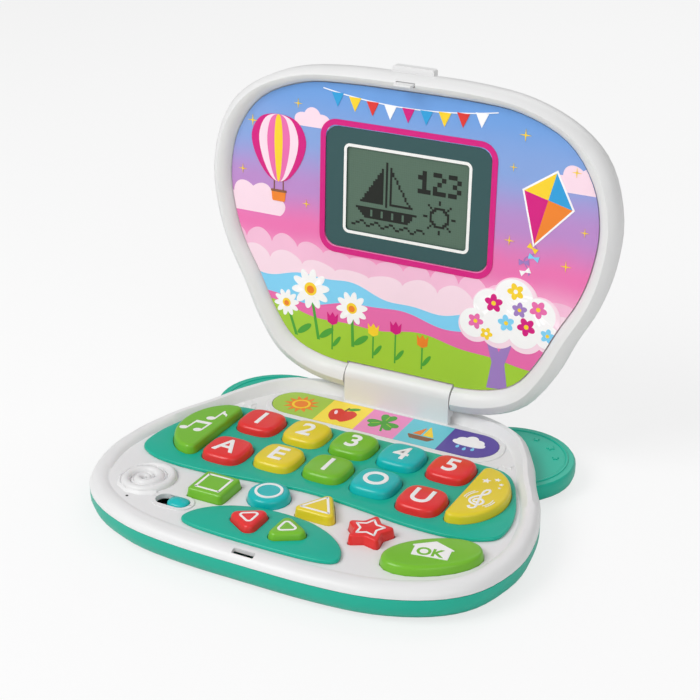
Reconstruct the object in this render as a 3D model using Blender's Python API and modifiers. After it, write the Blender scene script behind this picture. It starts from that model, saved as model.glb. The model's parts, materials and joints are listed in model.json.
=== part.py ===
"""Toy laptop computer: a teal and white clamshell with push keys, a slide switch and a lid with a display.

Sizes are in millimetres and become metres where a mesh is made. +Z is up, +X runs along the hinge to the
player's right, and -Y faces the player. The origin lies under the middle of the open toy, at the table.
"""

import math

import bmesh
import bpy
from mathutils import Matrix, Vector

MM = 0.001

# Clearances
FIT = 0.3
KEY_CLEARANCE = 0.35
RUNNING = 0.4

# Outline shared by the base and the lid: (half width, distance from the back edge), back to front
OUTLINE_HALF = [
    (25.0, 0.0),
    (50.0, 2.8),
    (69.5, 12.5),
    (82.5, 30.5),
    (91.0, 49.0),
    (100.5, 67.5),
    (107.0, 89.0),
    (108.6, 113.0),
    (101.5, 137.5),
    (86.0, 153.5),
    (62.0, 163.8),
    (34.0, 167.5),
]
OUTLINE_LENGTH = 168.0
OUTLINE_STEPS = 4
EAR_OVERHANG = 12.1

# Inner edge of the lid's rim, point for point with the outline
RECESS_HALF = [
    (24.0, 13.4),
    (45.0, 15.2),
    (61.5, 21.6),
    (72.3, 35.0),
    (82.0, 54.0),
    (91.3, 71.0),
    (96.8, 88.0),
    (98.9, 108.0),
    (94.3, 129.0),
    (80.5, 147.3),
    (57.5, 157.3),
    (33.0, 159.7),
]
RECESS_BACK = 13.2
RECESS_FRONT = 160.0

# Base heights above the table
FOOT_HEIGHT = 1.2
FOOT_RADIUS = 6.0
BASE_BOTTOM = FOOT_HEIGHT + FIT
SEAM_Z = 12.9
DECK_TOP = 17.0
RIM_TILT = 1.95
WALL = 2.0
DECK_INSET = 9.5
# Tub section, as (offset from the outline, height above the tub's bottom)
TUB_SECTION = [(0.0, 7.1), (-1.4, 3.1), (-3.4, 0.8), (-6.6, 0.0)]
FRONT_Y = -(OUTLINE_LENGTH + EAR_OVERHANG) / 2
BACK_Y = FRONT_Y + OUTLINE_LENGTH

# Keys
KEY_PITCH = 26.0
KEY_SIZE = 22.4
KEY_CORNER_POWER = 3.2
KEY_RISE = 4.4
ARROW_RISE = 3.2
KEY_SKIN = 1.8
KEY_TRAVEL = 1.8
KEY_FLANGE = 0.8
KEY_FLANGE_THICKNESS = 1.2
KEY_POINTS = 16
NUMBER_ROW_Y = 17.9
LETTER_ROW_Y = -8.4
LETTER_ROW_SAG = 6.2
MUSIC_GAP = 2.8
MUSIC_WIDTH = 21.5
MUSIC_HALF_DEPTH = 26.0
MUSIC_Y = 0.6
MUSIC_CORNER = 4.0
SHAPE_KEY_RISE = 4.6
SQUARE_SIZE = 19.5
SQUARE_AT = (-40.0, -46.4)
CIRCLE_DIAMETER = 20.5
CIRCLE_AT = (-13.8, -40.6)
TRIANGLE_RADIUS = 14.2
TRIANGLE_AT = (13.4, -42.0)
STAR_RADIUS = 12.6
STAR_WAIST = 7.4
STAR_AT = (42.2, -48.4)
STAR_TURN = 8.0
OK_HALF = (23.0, 12.6)
OK_TURN = 37.0
OK_AT = (75.0, -53.0)
ARROW_TIP = 22.6
ARROW_INNER = 3.4
ARROW_HALF_DEPTH = 11.4
ARROW_Y = -65.2
ARROW_CORNER = 3.6

# Raised teal plates that carry keys
PLATE_THICKNESS = 1.6
PLATE_BOTTOM = DECK_TOP + FIT
PLATE_TOP = PLATE_BOTTOM + PLATE_THICKNESS
PLATE_LIP = 0.8
PLATE_STEPS = 3
PLATE_HALF = [
    (0.0, -28.1),
    (17.0, -29.3),
    (32.0, -31.0),
    (48.0, -33.3),
    (65.0, -34.1),
    (79.0, -33.0),
    (88.5, -29.6),
    (94.3, -24.0),
    (95.0, -12.5),
    (92.4, 0.0),
    (87.6, 12.0),
    (83.0, 21.5),
    (76.5, 29.2),
    (66.0, 32.2),
    (34.0, 32.4),
    (0.0, 32.4),
]
ARROW_PLATE_HALF = [
    (0.0, -79.8),
    (20.0, -79.5),
    (33.5, -78.2),
    (39.6, -75.2),
    (39.2, -69.5),
    (35.0, -63.2),
    (27.0, -57.0),
    (17.0, -52.8),
    (8.5, -51.3),
    (0.0, -50.9),
]

# Picture strip behind the keys
STRIP_LENGTH = 124.8
STRIP_DEPTH = 24.4
STRIP_Y = 49.4
STRIP_THICKNESS = 0.6
STRIP_FRAME_WIDTH = 3.2
STRIP_FRAME_RISE = 1.0

# Speaker grille, slide switch and latch slot in the deck
SPEAKER_AT = (-75.0, -51.2)
SPEAKER_RADIUS = 14.0
SPIRAL_TURNS = 1.9
SPIRAL_INNER = 2.5
SPIRAL_OUTER = 14.6
SPIRAL_RIDGE = 1.3
SPIRAL_POINTS_PER_TURN = 12
SLOT_AT = (-52.0, -63.2)
SLOT_SIZE = (17.6, 9.0)
KNOB_SIZE = (10.6, 8.2)
KNOB_RISE = 2.2
KNOB_TRAVEL = SLOT_SIZE[0] - KNOB_SIZE[0] - 2 * KEY_CLEARANCE
SLIDER_OVERLAP = 0.8
LATCH_WIDTH = 9.4
LATCH_THICKNESS = 1.4
LATCH_REACH = 3.6
LATCH_FROM_AXIS = 156.9
LATCH_CLEARANCE = 0.8

# Inside the base
BOARD_Z = 6.6
BOARD_THICKNESS = 1.6
BOARD_CHAMFER = (18.0, 22.0)
MEMBRANE_THICKNESS = 1.0
DOME_RADIUS = 3.6
CELL_RADIUS = 5.25
CELL_LENGTH = 44.5
CELL_COUNT = 3
CELL_GAP = 0.5
CELL_NIPPLE = 0.8
BAY_Y = 48.4
COVER_THICKNESS = 1.5
TRAY_WALL = 0.8
CONTACT_THICKNESS = 0.6
SCREW_HEAD_RADIUS = 2.7
SCREW_HEAD_HEIGHT = 1.6
SCREW_SHANK_RADIUS = 1.3
BOSS_RADIUS = 3.4
CASE_SCREW_LENGTH = 9.0
BASE_SCREWS = [(-52.0, -73.2), (52.0, -73.2), (-70.0, 38.4), (70.0, 38.4)]
FEET = [(-66.0, -66.0), (66.0, -66.0), (-62.0, 56.0), (62.0, 56.0)]

# Ears at the back corners of the base
EAR_RADIUS = 32.0
EAR_AT = (66.0, BACK_Y + EAR_OVERHANG - EAR_RADIUS)
EAR_TOP = SEAM_Z - 0.6
EAR_BOTTOM = 3.0

# Hinge and lid; lid heights are measured from the hinge axis towards the player
LEAN = 2.3
AXIS_FROM_BACK = 7.5
AXIS_Y = BACK_Y - AXIS_FROM_BACK
AXIS_Z = 31.0
KNUCKLE_HALF = 29.3
KNUCKLE_RADIUS = 7.0
KNUCKLE_GAP = 0.7
KNUCKLE_SKIRT = 3.6
PIN_RADIUS = 1.8
PIN_LENGTH = 22.0
PIN_IN_LID = 10.0
LUG_RADIUS = 3.9
LUG_LENGTH = 12.0
SWEEP_RADIUS = 8.6
LID_RIM = 7.5
# Lid rim section, as (share of the way from the outline to the recess, depth below the rim's crest)
LID_RIM_SECTION = [(0.0, 5.1), (0.14, 2.0), (0.42, 0.0), (0.66, 0.8), (0.9, 3.1)]
LID_WALL = 1.8
LID_BACK = -6.5
ART_TOP = 2.5
ART_THICKNESS = 0.8
LID_FLOOR = ART_TOP - ART_THICKNESS - FIT
SCREEN_SIZE = (89.0, 62.0)
SCREEN_CORNER = 7.0
SCREEN_V = 99.8
BEZEL_THICKNESS = 0.6
LCD_VIEW = (65.4, 42.9)
LCD_RAISE = 0.1
LCD_V = SCREEN_V + LCD_RAISE
LCD_SIZE = (72.0, 49.0)
LCD_THICKNESS = 2.4
LCD_BOARD_SIZE = (80.0, 55.0)
LCD_BOARD_THICKNESS = 1.2
LID_SCREW_LENGTH = 5.8
LID_SCREWS = [(-62.0, 44.0), (62.0, 44.0), (-78.0, 128.0), (78.0, 128.0)]
LID_BOSS_RADIUS = 3.0
TAB_HALF_WIDTH = 11.0
TAB_REACH = 2.2
TAB_THICKNESS = 5.0

WHITE = (0.86, 0.86, 0.85)
TEAL = (0.03, 0.42, 0.34)
RED = (0.80, 0.05, 0.05)
YELLOW = (0.80, 0.58, 0.03)
GREEN = (0.27, 0.55, 0.04)
BLUE = (0.02, 0.42, 0.55)
DARK = (0.04, 0.11, 0.11)
STEEL = (0.55, 0.55, 0.55)
RUBBER = (0.08, 0.08, 0.08)
BOARD_GREEN = (0.03, 0.20, 0.08)


def clear_scene():
    """Remove every object that the startup file holds."""
    for obj in list(bpy.data.objects):
        bpy.data.objects.remove(obj)


def new_collection(name):
    """A collection linked to the scene."""
    made = bpy.data.collections.new(name)
    bpy.context.scene.collection.children.link(made)
    return made


clear_scene()
PARTS = new_collection("toy_laptop")
CUTTERS = new_collection("cutters")


# Outlines: closed lists of (x, y) running anticlockwise


def mirrored(half):
    """A symmetric closed outline from its right half, listed front to back."""
    left = [(-x, y) for x, y in reversed(half) if x > 0]
    return list(half) + left


def smooth(points, steps):
    """A closed Catmull-Rom curve through the points, with that many samples to a span."""
    count = len(points)
    made = []
    for i in range(count):
        p = [Vector(points[(i + k - 1) % count]) for k in range(4)]
        for j in range(steps):
            t = j / steps
            made.append(
                0.5
                * (
                    2 * p[1]
                    + (p[2] - p[0]) * t
                    + (2 * p[0] - 5 * p[1] + 4 * p[2] - p[3]) * t**2
                    + (3 * p[1] - p[0] - 3 * p[2] + p[3]) * t**3
                )
            )
    return [(v.x, v.y) for v in made]


def offset(outline, distance):
    """The outline moved outwards by a distance, or inwards by a negative one."""
    count = len(outline)
    made = []
    for i in range(count):
        before, here, after = (Vector(outline[(i + k) % count]) for k in (-1, 0, 1))
        one = (here - before).normalized()
        two = (after - here).normalized()
        normal = Vector((one.y + two.y, -one.x - two.x))
        normal /= max(normal.length_squared / 2, 0.2)
        moved = here + normal * distance
        made.append((moved.x, moved.y))
    return made


def moved(outline, at, turn=0.0):
    """The outline turned by degrees and then moved to a place."""
    c, s = math.cos(math.radians(turn)), math.sin(math.radians(turn))
    return [(at[0] + x * c - y * s, at[1] + x * s + y * c) for x, y in outline]


def superellipse(half_x, half_y, power, count):
    """A rounded square of that many points: power 2 is an ellipse."""
    made = []
    count = round(count)
    for i in range(count):
        angle = 2 * math.pi * i / count
        c, s = math.cos(angle), math.sin(angle)
        made.append(
            (
                math.copysign(half_x * abs(c) ** (2 / power), c),
                math.copysign(half_y * abs(s) ** (2 / power), s),
            )
        )
    return made


def filleted(corners, steps=3):
    """A closed outline through (x, y, radius) corners, each rounded by an arc of that radius."""
    count = len(corners)
    made = []
    for i in range(count):
        before, here, after = (Vector(corners[(i + k) % count][:2]) for k in (-1, 0, 1))
        radius = corners[i][2]
        if radius <= 0:
            made.append((here.x, here.y))
            continue
        one = (before - here).normalized()
        two = (after - here).normalized()
        half = one.angle(two) / 2
        centre = here + (one + two).normalized() * (radius / math.sin(half))
        start = here + one * (radius / math.tan(half)) - centre
        sweep = math.pi - 2 * half
        if one.x * two.y - one.y * two.x > 0:
            sweep = -sweep
        for j in range(steps + 1):
            point = centre + Matrix.Rotation(sweep * j / steps, 2) @ start
            made.append((point.x, point.y))
    return made


def rectangle(size, corner, at=(0.0, 0.0), steps=3):
    """A rectangle with round corners."""
    x, y = size[0] / 2, size[1] / 2
    return moved(filleted([(-x, -y, corner), (x, -y, corner), (x, y, corner), (-x, y, corner)], steps), at)


def circle(radius, at=(0.0, 0.0), count=16):
    """A round outline."""
    return moved(superellipse(radius, radius, 2, count), at)


# Solids: a loft through outlines of like count, given as (outline, height)


def loft(bm, rings, open_start=False, open_end=False):
    """Add a skin through the rings to bm, capped at both ends unless left open."""
    layers = []
    for outline, z in rings:
        heights = z if isinstance(z, list) else [z] * len(outline)
        layers.append([bm.verts.new((x * MM, y * MM, h * MM)) for (x, y), h in zip(outline, heights)])
    count = len(layers[0])
    rising = layers[-1][0].co.z >= layers[0][0].co.z
    faces = []
    for low, high in zip(layers, layers[1:]):
        for i in range(count):
            j = (i + 1) % count
            faces.append(bm.faces.new((low[i], low[j], high[j], high[i])))
    if not open_start:
        faces.append(bm.faces.new(layers[0][::-1]))
    if not open_end:
        faces.append(bm.faces.new(layers[-1]))
    if not rising:
        bmesh.ops.reverse_faces(bm, faces=faces)
    return bm


def block(bm, outline, low, high):
    """Add an upright prism of the outline to bm."""
    return loft(bm, [(outline, low), (outline, high)])


def profiled(outline, profile):
    """Rings for loft from (outset, height) pairs."""
    return [(offset(outline, out), z) for out, z in profile]


def between(outer, inner, share):
    """The outline that lies that share of the way from one outline to another, point for point."""
    return [(a + (c - a) * share, b + (d - b) * share) for (a, b), (c, d) in zip(outer, inner)]


def material(name, colour, roughness=0.35, metallic=0.0):
    """A Principled material, made once."""
    found = bpy.data.materials.get(name)
    if found:
        return found
    made = bpy.data.materials.new(name)
    made.use_nodes = True
    shader = made.node_tree.nodes["Principled BSDF"]
    shader.inputs["Base Color"].default_value = (*colour, 1.0)
    shader.inputs["Roughness"].default_value = roughness
    shader.inputs["Metallic"].default_value = metallic
    return made


def add_object(name, bm, finish, parent=None, collection=None):
    """An object from bm in the parts collection, or in another."""
    mesh = bpy.data.meshes.new(name)
    bm.to_mesh(mesh)
    bm.free()
    mesh.shade_smooth()
    mesh.set_sharp_from_angle(angle=math.radians(32))
    if finish:
        mesh.materials.append(finish)
    obj = bpy.data.objects.new(name, mesh)
    (collection or PARTS).objects.link(obj)
    obj.parent = parent
    return obj


def helper(name, bm, parent=None):
    """A cutter or an added shape, which isn't a part by itself."""
    obj = add_object(name, bm, None, parent, CUTTERS)
    obj.hide_render = True
    obj.display_type = "WIRE"
    return obj


def boolean(obj, other, operation):
    """Cut other from obj, or join it on."""
    modifier = obj.modifiers.new(f"{operation.lower()}_{other.name}", "BOOLEAN")
    modifier.operation = operation
    modifier.solver = "EXACT"
    modifier.use_self = True
    modifier.object = other


def hollow(obj, thickness):
    """Give an open skin its wall, on the inner side."""
    modifier = obj.modifiers.new("wall", "SOLIDIFY")
    modifier.thickness = thickness * MM
    modifier.offset = -1
    modifier.use_even_offset = True


def pivot(name, at, rotation=(0.0, 0.0, 0.0)):
    """An empty that carries parts, in millimetres."""
    empty = bpy.data.objects.new(name, None)
    empty.location = Vector(at) * MM
    empty.rotation_euler = rotation
    PARTS.objects.link(empty)
    return empty


MATERIALS = {
    "white": material("white_abs", WHITE),
    "teal": material("teal_abs", TEAL),
    "red": material("red_abs", RED),
    "yellow": material("yellow_abs", YELLOW),
    "green": material("green_abs", GREEN),
    "blue": material("blue_abs", BLUE),
    "dark": material("screen_print", DARK, 0.2),
    "print": material("printed_sheet", (0.75, 0.45, 0.65), 0.4),
    "lcd": material("lcd_glass", (0.16, 0.21, 0.16), 0.25),
    "steel": material("zinc_steel", STEEL, 0.3, 1.0),
    "rubber": material("black_rubber", RUBBER, 0.8),
    "membrane": material("grey_silicone", (0.35, 0.35, 0.36), 0.7),
    "board": material("board_laminate", BOARD_GREEN, 0.5),
    "cell": material("cell_jacket", (0.10, 0.10, 0.12), 0.3),
    "black": material("black_abs", (0.03, 0.03, 0.03), 0.4),
}


# Outlines of the base and its keys

BODY = smooth(
    mirrored([(0.0, 0.0)] + OUTLINE_HALF + [(0.0, OUTLINE_LENGTH)]), OUTLINE_STEPS
)
BASE_OUTLINE = [(x, BACK_Y - s) for x, s in reversed(BODY)]
LID_OUTLINE = [(x, s - AXIS_FROM_BACK) for x, s in BODY]
RECESS = smooth(
    mirrored([(0.0, RECESS_BACK)] + RECESS_HALF + [(0.0, RECESS_FRONT)]), OUTLINE_STEPS
)
RECESS_OUTLINE = [(x, s - AXIS_FROM_BACK) for x, s in RECESS]
PLATE_OUTLINE = smooth(mirrored(PLATE_HALF), PLATE_STEPS)
ARROW_PLATE_OUTLINE = smooth(mirrored(ARROW_PLATE_HALF), PLATE_STEPS)


def rim_height(y):
    """The rim's crest slopes down to the player, so that the tilted lid shuts on it."""
    slope = math.radians(RIM_TILT)
    return AXIS_Z - (LID_RIM + RUNNING) / math.cos(slope) - (AXIS_Y - y) * math.tan(slope)


def letter_row_y(x):
    """The letter row bows towards the player at its ends."""
    return LETTER_ROW_Y - LETTER_ROW_SAG * (x / (2 * KEY_PITCH)) ** 2


def music_outline(side):
    """A D-shaped key beside the rows: straight on the inside, half an ellipse on the outside."""
    inner = 2 * KEY_PITCH + KEY_SIZE / 2 + MUSIC_GAP
    arc = [-66, -50, -34, -17, 0, 17, 34, 50, 66]
    corners = [(inner, MUSIC_Y - MUSIC_HALF_DEPTH, MUSIC_CORNER)]
    for degrees in arc:
        angle = math.radians(degrees)
        corners.append(
            (inner + MUSIC_WIDTH * math.cos(angle), MUSIC_Y + MUSIC_HALF_DEPTH * math.sin(angle), 0)
        )
    corners.append((inner, MUSIC_Y + MUSIC_HALF_DEPTH, MUSIC_CORNER))
    outline = filleted(corners)
    return outline if side > 0 else [(-x, y) for x, y in reversed(outline)]


def star_outline():
    """A five-pointed star with round tips."""
    corners = []
    for i in range(10):
        radius = STAR_RADIUS if i % 2 == 0 else STAR_WAIST
        angle = math.radians(90 + 36 * i)
        corners.append((radius * math.cos(angle), radius * math.sin(angle), 1.4))
    return moved(filleted(corners, 2), STAR_AT, STAR_TURN)


def triangle_outline():
    """An upright triangle with round corners."""
    corners = []
    for i in range(3):
        angle = math.radians(90 + 120 * i)
        corners.append((TRIANGLE_RADIUS * math.cos(angle), TRIANGLE_RADIUS * math.sin(angle), 3.0))
    return moved(filleted(corners, 4), TRIANGLE_AT)


def arrow_outline(side):
    """A triangle that points to one side."""
    corners = [
        (ARROW_TIP, ARROW_Y, ARROW_CORNER),
        (ARROW_INNER, ARROW_Y + ARROW_HALF_DEPTH, ARROW_CORNER),
        (ARROW_INNER, ARROW_Y - ARROW_HALF_DEPTH, ARROW_CORNER),
    ]
    outline = filleted(corners, 4)
    return outline if side > 0 else [(-x, y) for x, y in reversed(outline)]


def key_outlines():
    """Each key's name, outline, colour, and whether it stands on a teal plate."""
    square = superellipse(KEY_SIZE / 2, KEY_SIZE / 2, KEY_CORNER_POWER, KEY_POINTS)
    colours = ["red", "yellow", "green", "blue", "red"]
    keys = []
    for i, (number, letter) in enumerate(zip("12345", "aeiou")):
        x = (i - 2) * KEY_PITCH
        keys.append((f"key_{number}", moved(square, (x, NUMBER_ROW_Y)), colours[i], True))
        keys.append((f"key_{letter}", moved(square, (x, letter_row_y(x))), colours[i], True))
    keys.append(("music_key_left", music_outline(-1), "green", True))
    keys.append(("music_key_right", music_outline(1), "yellow", True))
    keys.append(("arrow_key_left", arrow_outline(-1), "red", True))
    keys.append(("arrow_key_right", arrow_outline(1), "green", True))
    keys.append(("square_key", rectangle((SQUARE_SIZE, SQUARE_SIZE), 2.0, SQUARE_AT), "green", False))
    keys.append(("circle_key", circle(CIRCLE_DIAMETER / 2, CIRCLE_AT, 20), "blue", False))
    keys.append(("triangle_key", triangle_outline(), "yellow", False))
    keys.append(("star_key", star_outline(), "red", False))
    keys.append(("ok_key", moved(superellipse(*OK_HALF, 2.1, 20), OK_AT, OK_TURN), "green", False))
    return keys


KEYS = key_outlines()


def key_levels(name, on_plate):
    """Flange bottom, flange top and crown height of a key."""
    rise = KEY_RISE if on_plate else SHAPE_KEY_RISE
    if name.startswith("arrow"):
        rise = ARROW_RISE
    underside = PLATE_BOTTOM if on_plate else DECK_TOP - WALL
    crown = PLATE_TOP + rise if on_plate else DECK_TOP + rise
    flange_top = underside - FIT
    return flange_top - KEY_FLANGE_THICKNESS, flange_top, crown


def make_keys():
    """A crowned cap on a flange for each key."""
    for name, outline, colour, on_plate in KEYS:
        low, top, crown = key_levels(name, on_plate)
        profile = [
            (-KEY_SKIN, crown - 2 * KEY_SKIN),
            (-KEY_SKIN, low),
            (KEY_FLANGE, low),
            (KEY_FLANGE, top),
            (0.0, top),
            (0.0, crown - 1.9),
            (-0.7, crown - 0.6),
            (-2.2, crown),
        ]
        add_object(name, loft(bmesh.new(), profiled(outline, profile)), MATERIALS[colour])


def make_plates():
    """The two raised teal plates, with a hole for each key."""
    for name, outline in (("keyboard_plate", PLATE_OUTLINE), ("arrow_plate", ARROW_PLATE_OUTLINE)):
        profile = [(0.0, PLATE_BOTTOM), (0.0, PLATE_TOP - 0.7), (-0.7, PLATE_TOP)]
        plate = add_object(name, loft(bmesh.new(), profiled(outline, profile)), MATERIALS["teal"])
        holes = bmesh.new()
        for key, key_outline, _, on_plate in KEYS:
            if on_plate and key.startswith("arrow") == (name == "arrow_plate"):
                block(holes, offset(key_outline, KEY_CLEARANCE), PLATE_BOTTOM - 1, PLATE_TOP + 1)
        boolean(plate, helper(f"{name}_key_holes", holes), "DIFFERENCE")


def strip_outline(grow=0.0):
    """A stadium around the picture strip."""
    size = (STRIP_LENGTH + 2 * grow, STRIP_DEPTH + 2 * grow)
    return rectangle(size, size[1] / 2 - 0.05, (0.0, STRIP_Y), 6)


def spiral_ridge():
    """The spiral relief over the speaker, as a ridge that sinks into the deck."""
    count = int(SPIRAL_TURNS * SPIRAL_POINTS_PER_TURN)
    curve = bpy.data.curves.new("spiral_ridge", "CURVE")
    curve.dimensions = "3D"
    curve.bevel_depth = SPIRAL_RIDGE * MM
    curve.bevel_resolution = 0
    curve.use_fill_caps = True
    spline = curve.splines.new("POLY")
    spline.points.add(count)
    for i in range(count + 1):
        share = i / count
        radius = SPIRAL_INNER + (SPIRAL_OUTER - SPIRAL_INNER) * share
        angle = 2 * math.pi * SPIRAL_TURNS * share
        place = Vector((SPEAKER_AT[0], SPEAKER_AT[1], DECK_TOP))
        place += Vector((radius * math.cos(angle), radius * math.sin(angle), 0.0))
        spline.points[i].co = (*(place * MM), 1.0)
    obj = bpy.data.objects.new("spiral_curve", curve)
    CUTTERS.objects.link(obj)
    bpy.context.view_layer.update()
    graph = bpy.context.evaluated_depsgraph_get()
    bm = bmesh.new()
    bm.from_mesh(bpy.data.meshes.new_from_object(obj.evaluated_get(graph)))
    bmesh.ops.remove_doubles(bm, verts=bm.verts, dist=0.00001)
    bpy.data.objects.remove(obj)
    return helper("spiral_relief", bm)


def axis_cylinder(bm, radius, start, end, count=16):
    """Add a cylinder along X about the origin to bm."""
    made = loft(bmesh.new(), [(circle(radius, count=count), start), (circle(radius, count=count), end)])
    made.transform(Matrix.Rotation(math.radians(90), 4, "Y"))
    mesh = bpy.data.meshes.new("axis_cylinder")
    made.to_mesh(mesh)
    made.free()
    bm.from_mesh(mesh)
    bpy.data.meshes.remove(mesh)
    return bm


def axis_cylinder_at_hinge(radius, reach, count):
    """A cylinder about the hinge axis in the base's frame."""
    bm = axis_cylinder(bmesh.new(), radius, -reach, reach, count)
    bm.transform(Matrix.Translation(Vector((0.0, AXIS_Y, AXIS_Z)) * MM))
    return bm


def sweep_trough():
    """The room that the lid's lower edge turns in, across the whole base."""
    return axis_cylinder_at_hinge(SWEEP_RADIUS, max(x for x, _ in OUTLINE_HALF), 32)


def knuckle_solid():
    """The knuckle on the base between the lid's two corners: a barrel with a skirt down to the deck."""
    r = KNUCKLE_RADIUS
    low = DECK_TOP - 1.0 - AXIS_Z
    back_low = rim_height(AXIS_Y) - 2.6 - AXIS_Z
    side = [(r * math.cos(math.radians(a)), r * math.sin(math.radians(a))) for a in range(0, 181, 15)]
    side = [(-r, low), (-r + KNUCKLE_SKIRT, low), (-r + KNUCKLE_SKIRT, back_low), (r, back_low)] + side
    bm = loft(bmesh.new(), [(side, -KNUCKLE_HALF), (side, KNUCKLE_HALF)])
    turn = Matrix.Rotation(math.radians(90), 4, "Z") @ Matrix.Rotation(math.radians(90), 4, "X")
    bm.transform(Matrix.Translation(Vector((0.0, AXIS_Y, AXIS_Z)) * MM) @ turn)
    return bm


def latch_y():
    """Where the latch hook meets the base when the lid is shut."""
    return AXIS_Y - LATCH_FROM_AXIS


def make_top_shell():
    """The white deck with its raised rim, key openings, bosses and latch slot."""
    outer = [(0.0, 0.0), (0.0, 0.3), (-1.3, 0.74), (-4.2, 1.0)]
    inner = [(-6.4, 0.96), (-8.4, 0.45), (-DECK_INSET, 0.0)]
    rings = []
    for level, profile in ((SEAM_Z + FIT / 2, outer), (DECK_TOP, inner)):
        for out, share in profile:
            outline = offset(BASE_OUTLINE, out)
            heights = [level + share * (rim_height(y) - level) for _, y in outline]
            rings.append((outline, heights))
    shell = add_object("base_top_shell", loft(bmesh.new(), rings, open_start=True), MATERIALS["white"])
    hollow(shell, WALL)

    underside = DECK_TOP - WALL
    frame = bmesh.new()
    frame_profile = [(STRIP_FRAME_WIDTH, DECK_TOP - 1), (STRIP_FRAME_WIDTH, DECK_TOP + 0.4)]
    frame_profile.append((STRIP_FRAME_WIDTH - 1.0, DECK_TOP + STRIP_FRAME_RISE))
    loft(frame, profiled(strip_outline(), frame_profile))
    boolean(shell, helper("strip_frame", frame), "UNION")
    boolean(shell, spiral_ridge(), "UNION")
    bosses = bmesh.new()
    for at in BASE_SCREWS:
        block(bosses, circle(BOSS_RADIUS, at, 12), BASE_BOTTOM + WALL + FIT, underside + 0.6)
    boolean(shell, helper("top_shell_bosses", bosses), "UNION")
    boolean(shell, helper("sweep_trough", sweep_trough()), "DIFFERENCE")
    boolean(shell, helper("hinge_knuckle", knuckle_solid()), "UNION")

    cuts = bmesh.new()
    pocket = [(KNUCKLE_HALF - PIN_LENGTH + PIN_IN_LID - 3) * 2, KNUCKLE_RADIUS + 2.0]
    block(cuts, rectangle(pocket, 0.5, (0.0, AXIS_Y), 1), SEAM_Z, AXIS_Z + 2.0)
    block(cuts, offset(PLATE_OUTLINE, -PLATE_LIP), underside - 1, DECK_TOP + 1)
    block(cuts, offset(ARROW_PLATE_OUTLINE, -PLATE_LIP), underside - 1, DECK_TOP + 1)
    for _, outline, _, on_plate in KEYS:
        if not on_plate:
            block(cuts, offset(outline, KEY_CLEARANCE), underside - 1, DECK_TOP + 1)
    block(cuts, rectangle(SLOT_SIZE, SLOT_SIZE[1] / 2 - 0.05, SLOT_AT, 4), underside - 1, DECK_TOP + 1)
    slot = (LATCH_WIDTH + 2 * LATCH_CLEARANCE, LATCH_THICKNESS + 2 * LATCH_CLEARANCE)
    block(cuts, rectangle(slot, 0.3, (0.0, latch_y()), 1), SEAM_Z + 1, DECK_TOP + 4)
    pocket_floor = DECK_TOP + STRIP_FRAME_RISE - STRIP_THICKNESS - FIT
    block(cuts, offset(strip_outline(), FIT), pocket_floor, DECK_TOP + STRIP_FRAME_RISE + 1)
    for at in BASE_SCREWS:
        block(cuts, circle(SCREW_SHANK_RADIUS + FIT, at, 10), BASE_BOTTOM, underside - 0.8)
    boolean(shell, helper("top_shell_openings", cuts), "DIFFERENCE")
    bores = bmesh.new()
    seat = PIN_LENGTH - PIN_IN_LID - KNUCKLE_GAP
    for direction in (-1, 1):
        ends = sorted((direction * (KNUCKLE_HALF - seat - FIT), direction * (KNUCKLE_HALF + 1)))
        axis_cylinder(bores, PIN_RADIUS + FIT, *ends)
    bores.transform(Matrix.Translation(Vector((0.0, AXIS_Y, AXIS_Z)) * MM))
    boolean(shell, helper("pin_bores", bores), "DIFFERENCE")

    strip = block(bmesh.new(), strip_outline(), pocket_floor + FIT, pocket_floor + FIT + STRIP_THICKNESS)
    add_object("picture_strip", strip, MATERIALS["print"])


def bay_size():
    """Clear length and depth of the battery bay."""
    length = CELL_LENGTH + CELL_NIPPLE + 2 * (CONTACT_THICKNESS + 2 * FIT)
    depth = CELL_COUNT * 2 * CELL_RADIUS + (CELL_COUNT - 1) * CELL_GAP + 2 * FIT
    return length, depth


def make_bottom_shell():
    """The teal tub with its two ears, battery opening and screw holes."""
    profile = [
        (0.0, SEAM_Z - FIT / 2),
        *((out, BASE_BOTTOM + height) for out, height in TUB_SECTION),
    ]
    rings = profiled(BASE_OUTLINE, profile)
    shell = add_object("base_bottom_shell", loft(bmesh.new(), rings, open_start=True), MATERIALS["teal"])
    hollow(shell, WALL)

    for side in (-1, 1):
        at = (side * EAR_AT[0], EAR_AT[1])
        ear_profile = [(-3.0, EAR_BOTTOM - 0.6), (-0.8, EAR_BOTTOM + 1.0), (0.0, EAR_BOTTOM + 3.4)]
        ear_profile += [(0.0, EAR_TOP - 1.6), (-0.9, EAR_TOP - 0.3), (-2.6, EAR_TOP)]
        ear = bmesh.new()
        loft(ear, profiled(circle(EAR_RADIUS, at, 40), ear_profile))
        name = "ear_left" if side < 0 else "ear_right"
        ear = helper(name, ear)
        core = block(bmesh.new(), offset(BASE_OUTLINE, -0.9), BASE_BOTTOM - 2, SEAM_Z + 2)
        boolean(ear, helper(f"{name}_core", core), "DIFFERENCE")
        boolean(shell, ear, "UNION")

    cuts = bmesh.new()
    length, depth = bay_size()
    block(cuts, rectangle((length, depth), 1.0, (0.0, BAY_Y), 1), BASE_BOTTOM - 1, BASE_BOTTOM + WALL + 1)
    for at in BASE_SCREWS:
        head = offset(circle(SCREW_HEAD_RADIUS, at, 12), FIT)
        shank = offset(circle(SCREW_SHANK_RADIUS, at, 12), FIT)
        floor = BASE_BOTTOM + SCREW_HEAD_HEIGHT - 0.4
        rings = [(head, BASE_BOTTOM - 1), (head, floor), (shank, floor), (shank, BASE_BOTTOM + WALL + 1)]
        loft(cuts, rings)
    boolean(shell, helper("bottom_shell_openings", cuts), "DIFFERENCE")


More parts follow.
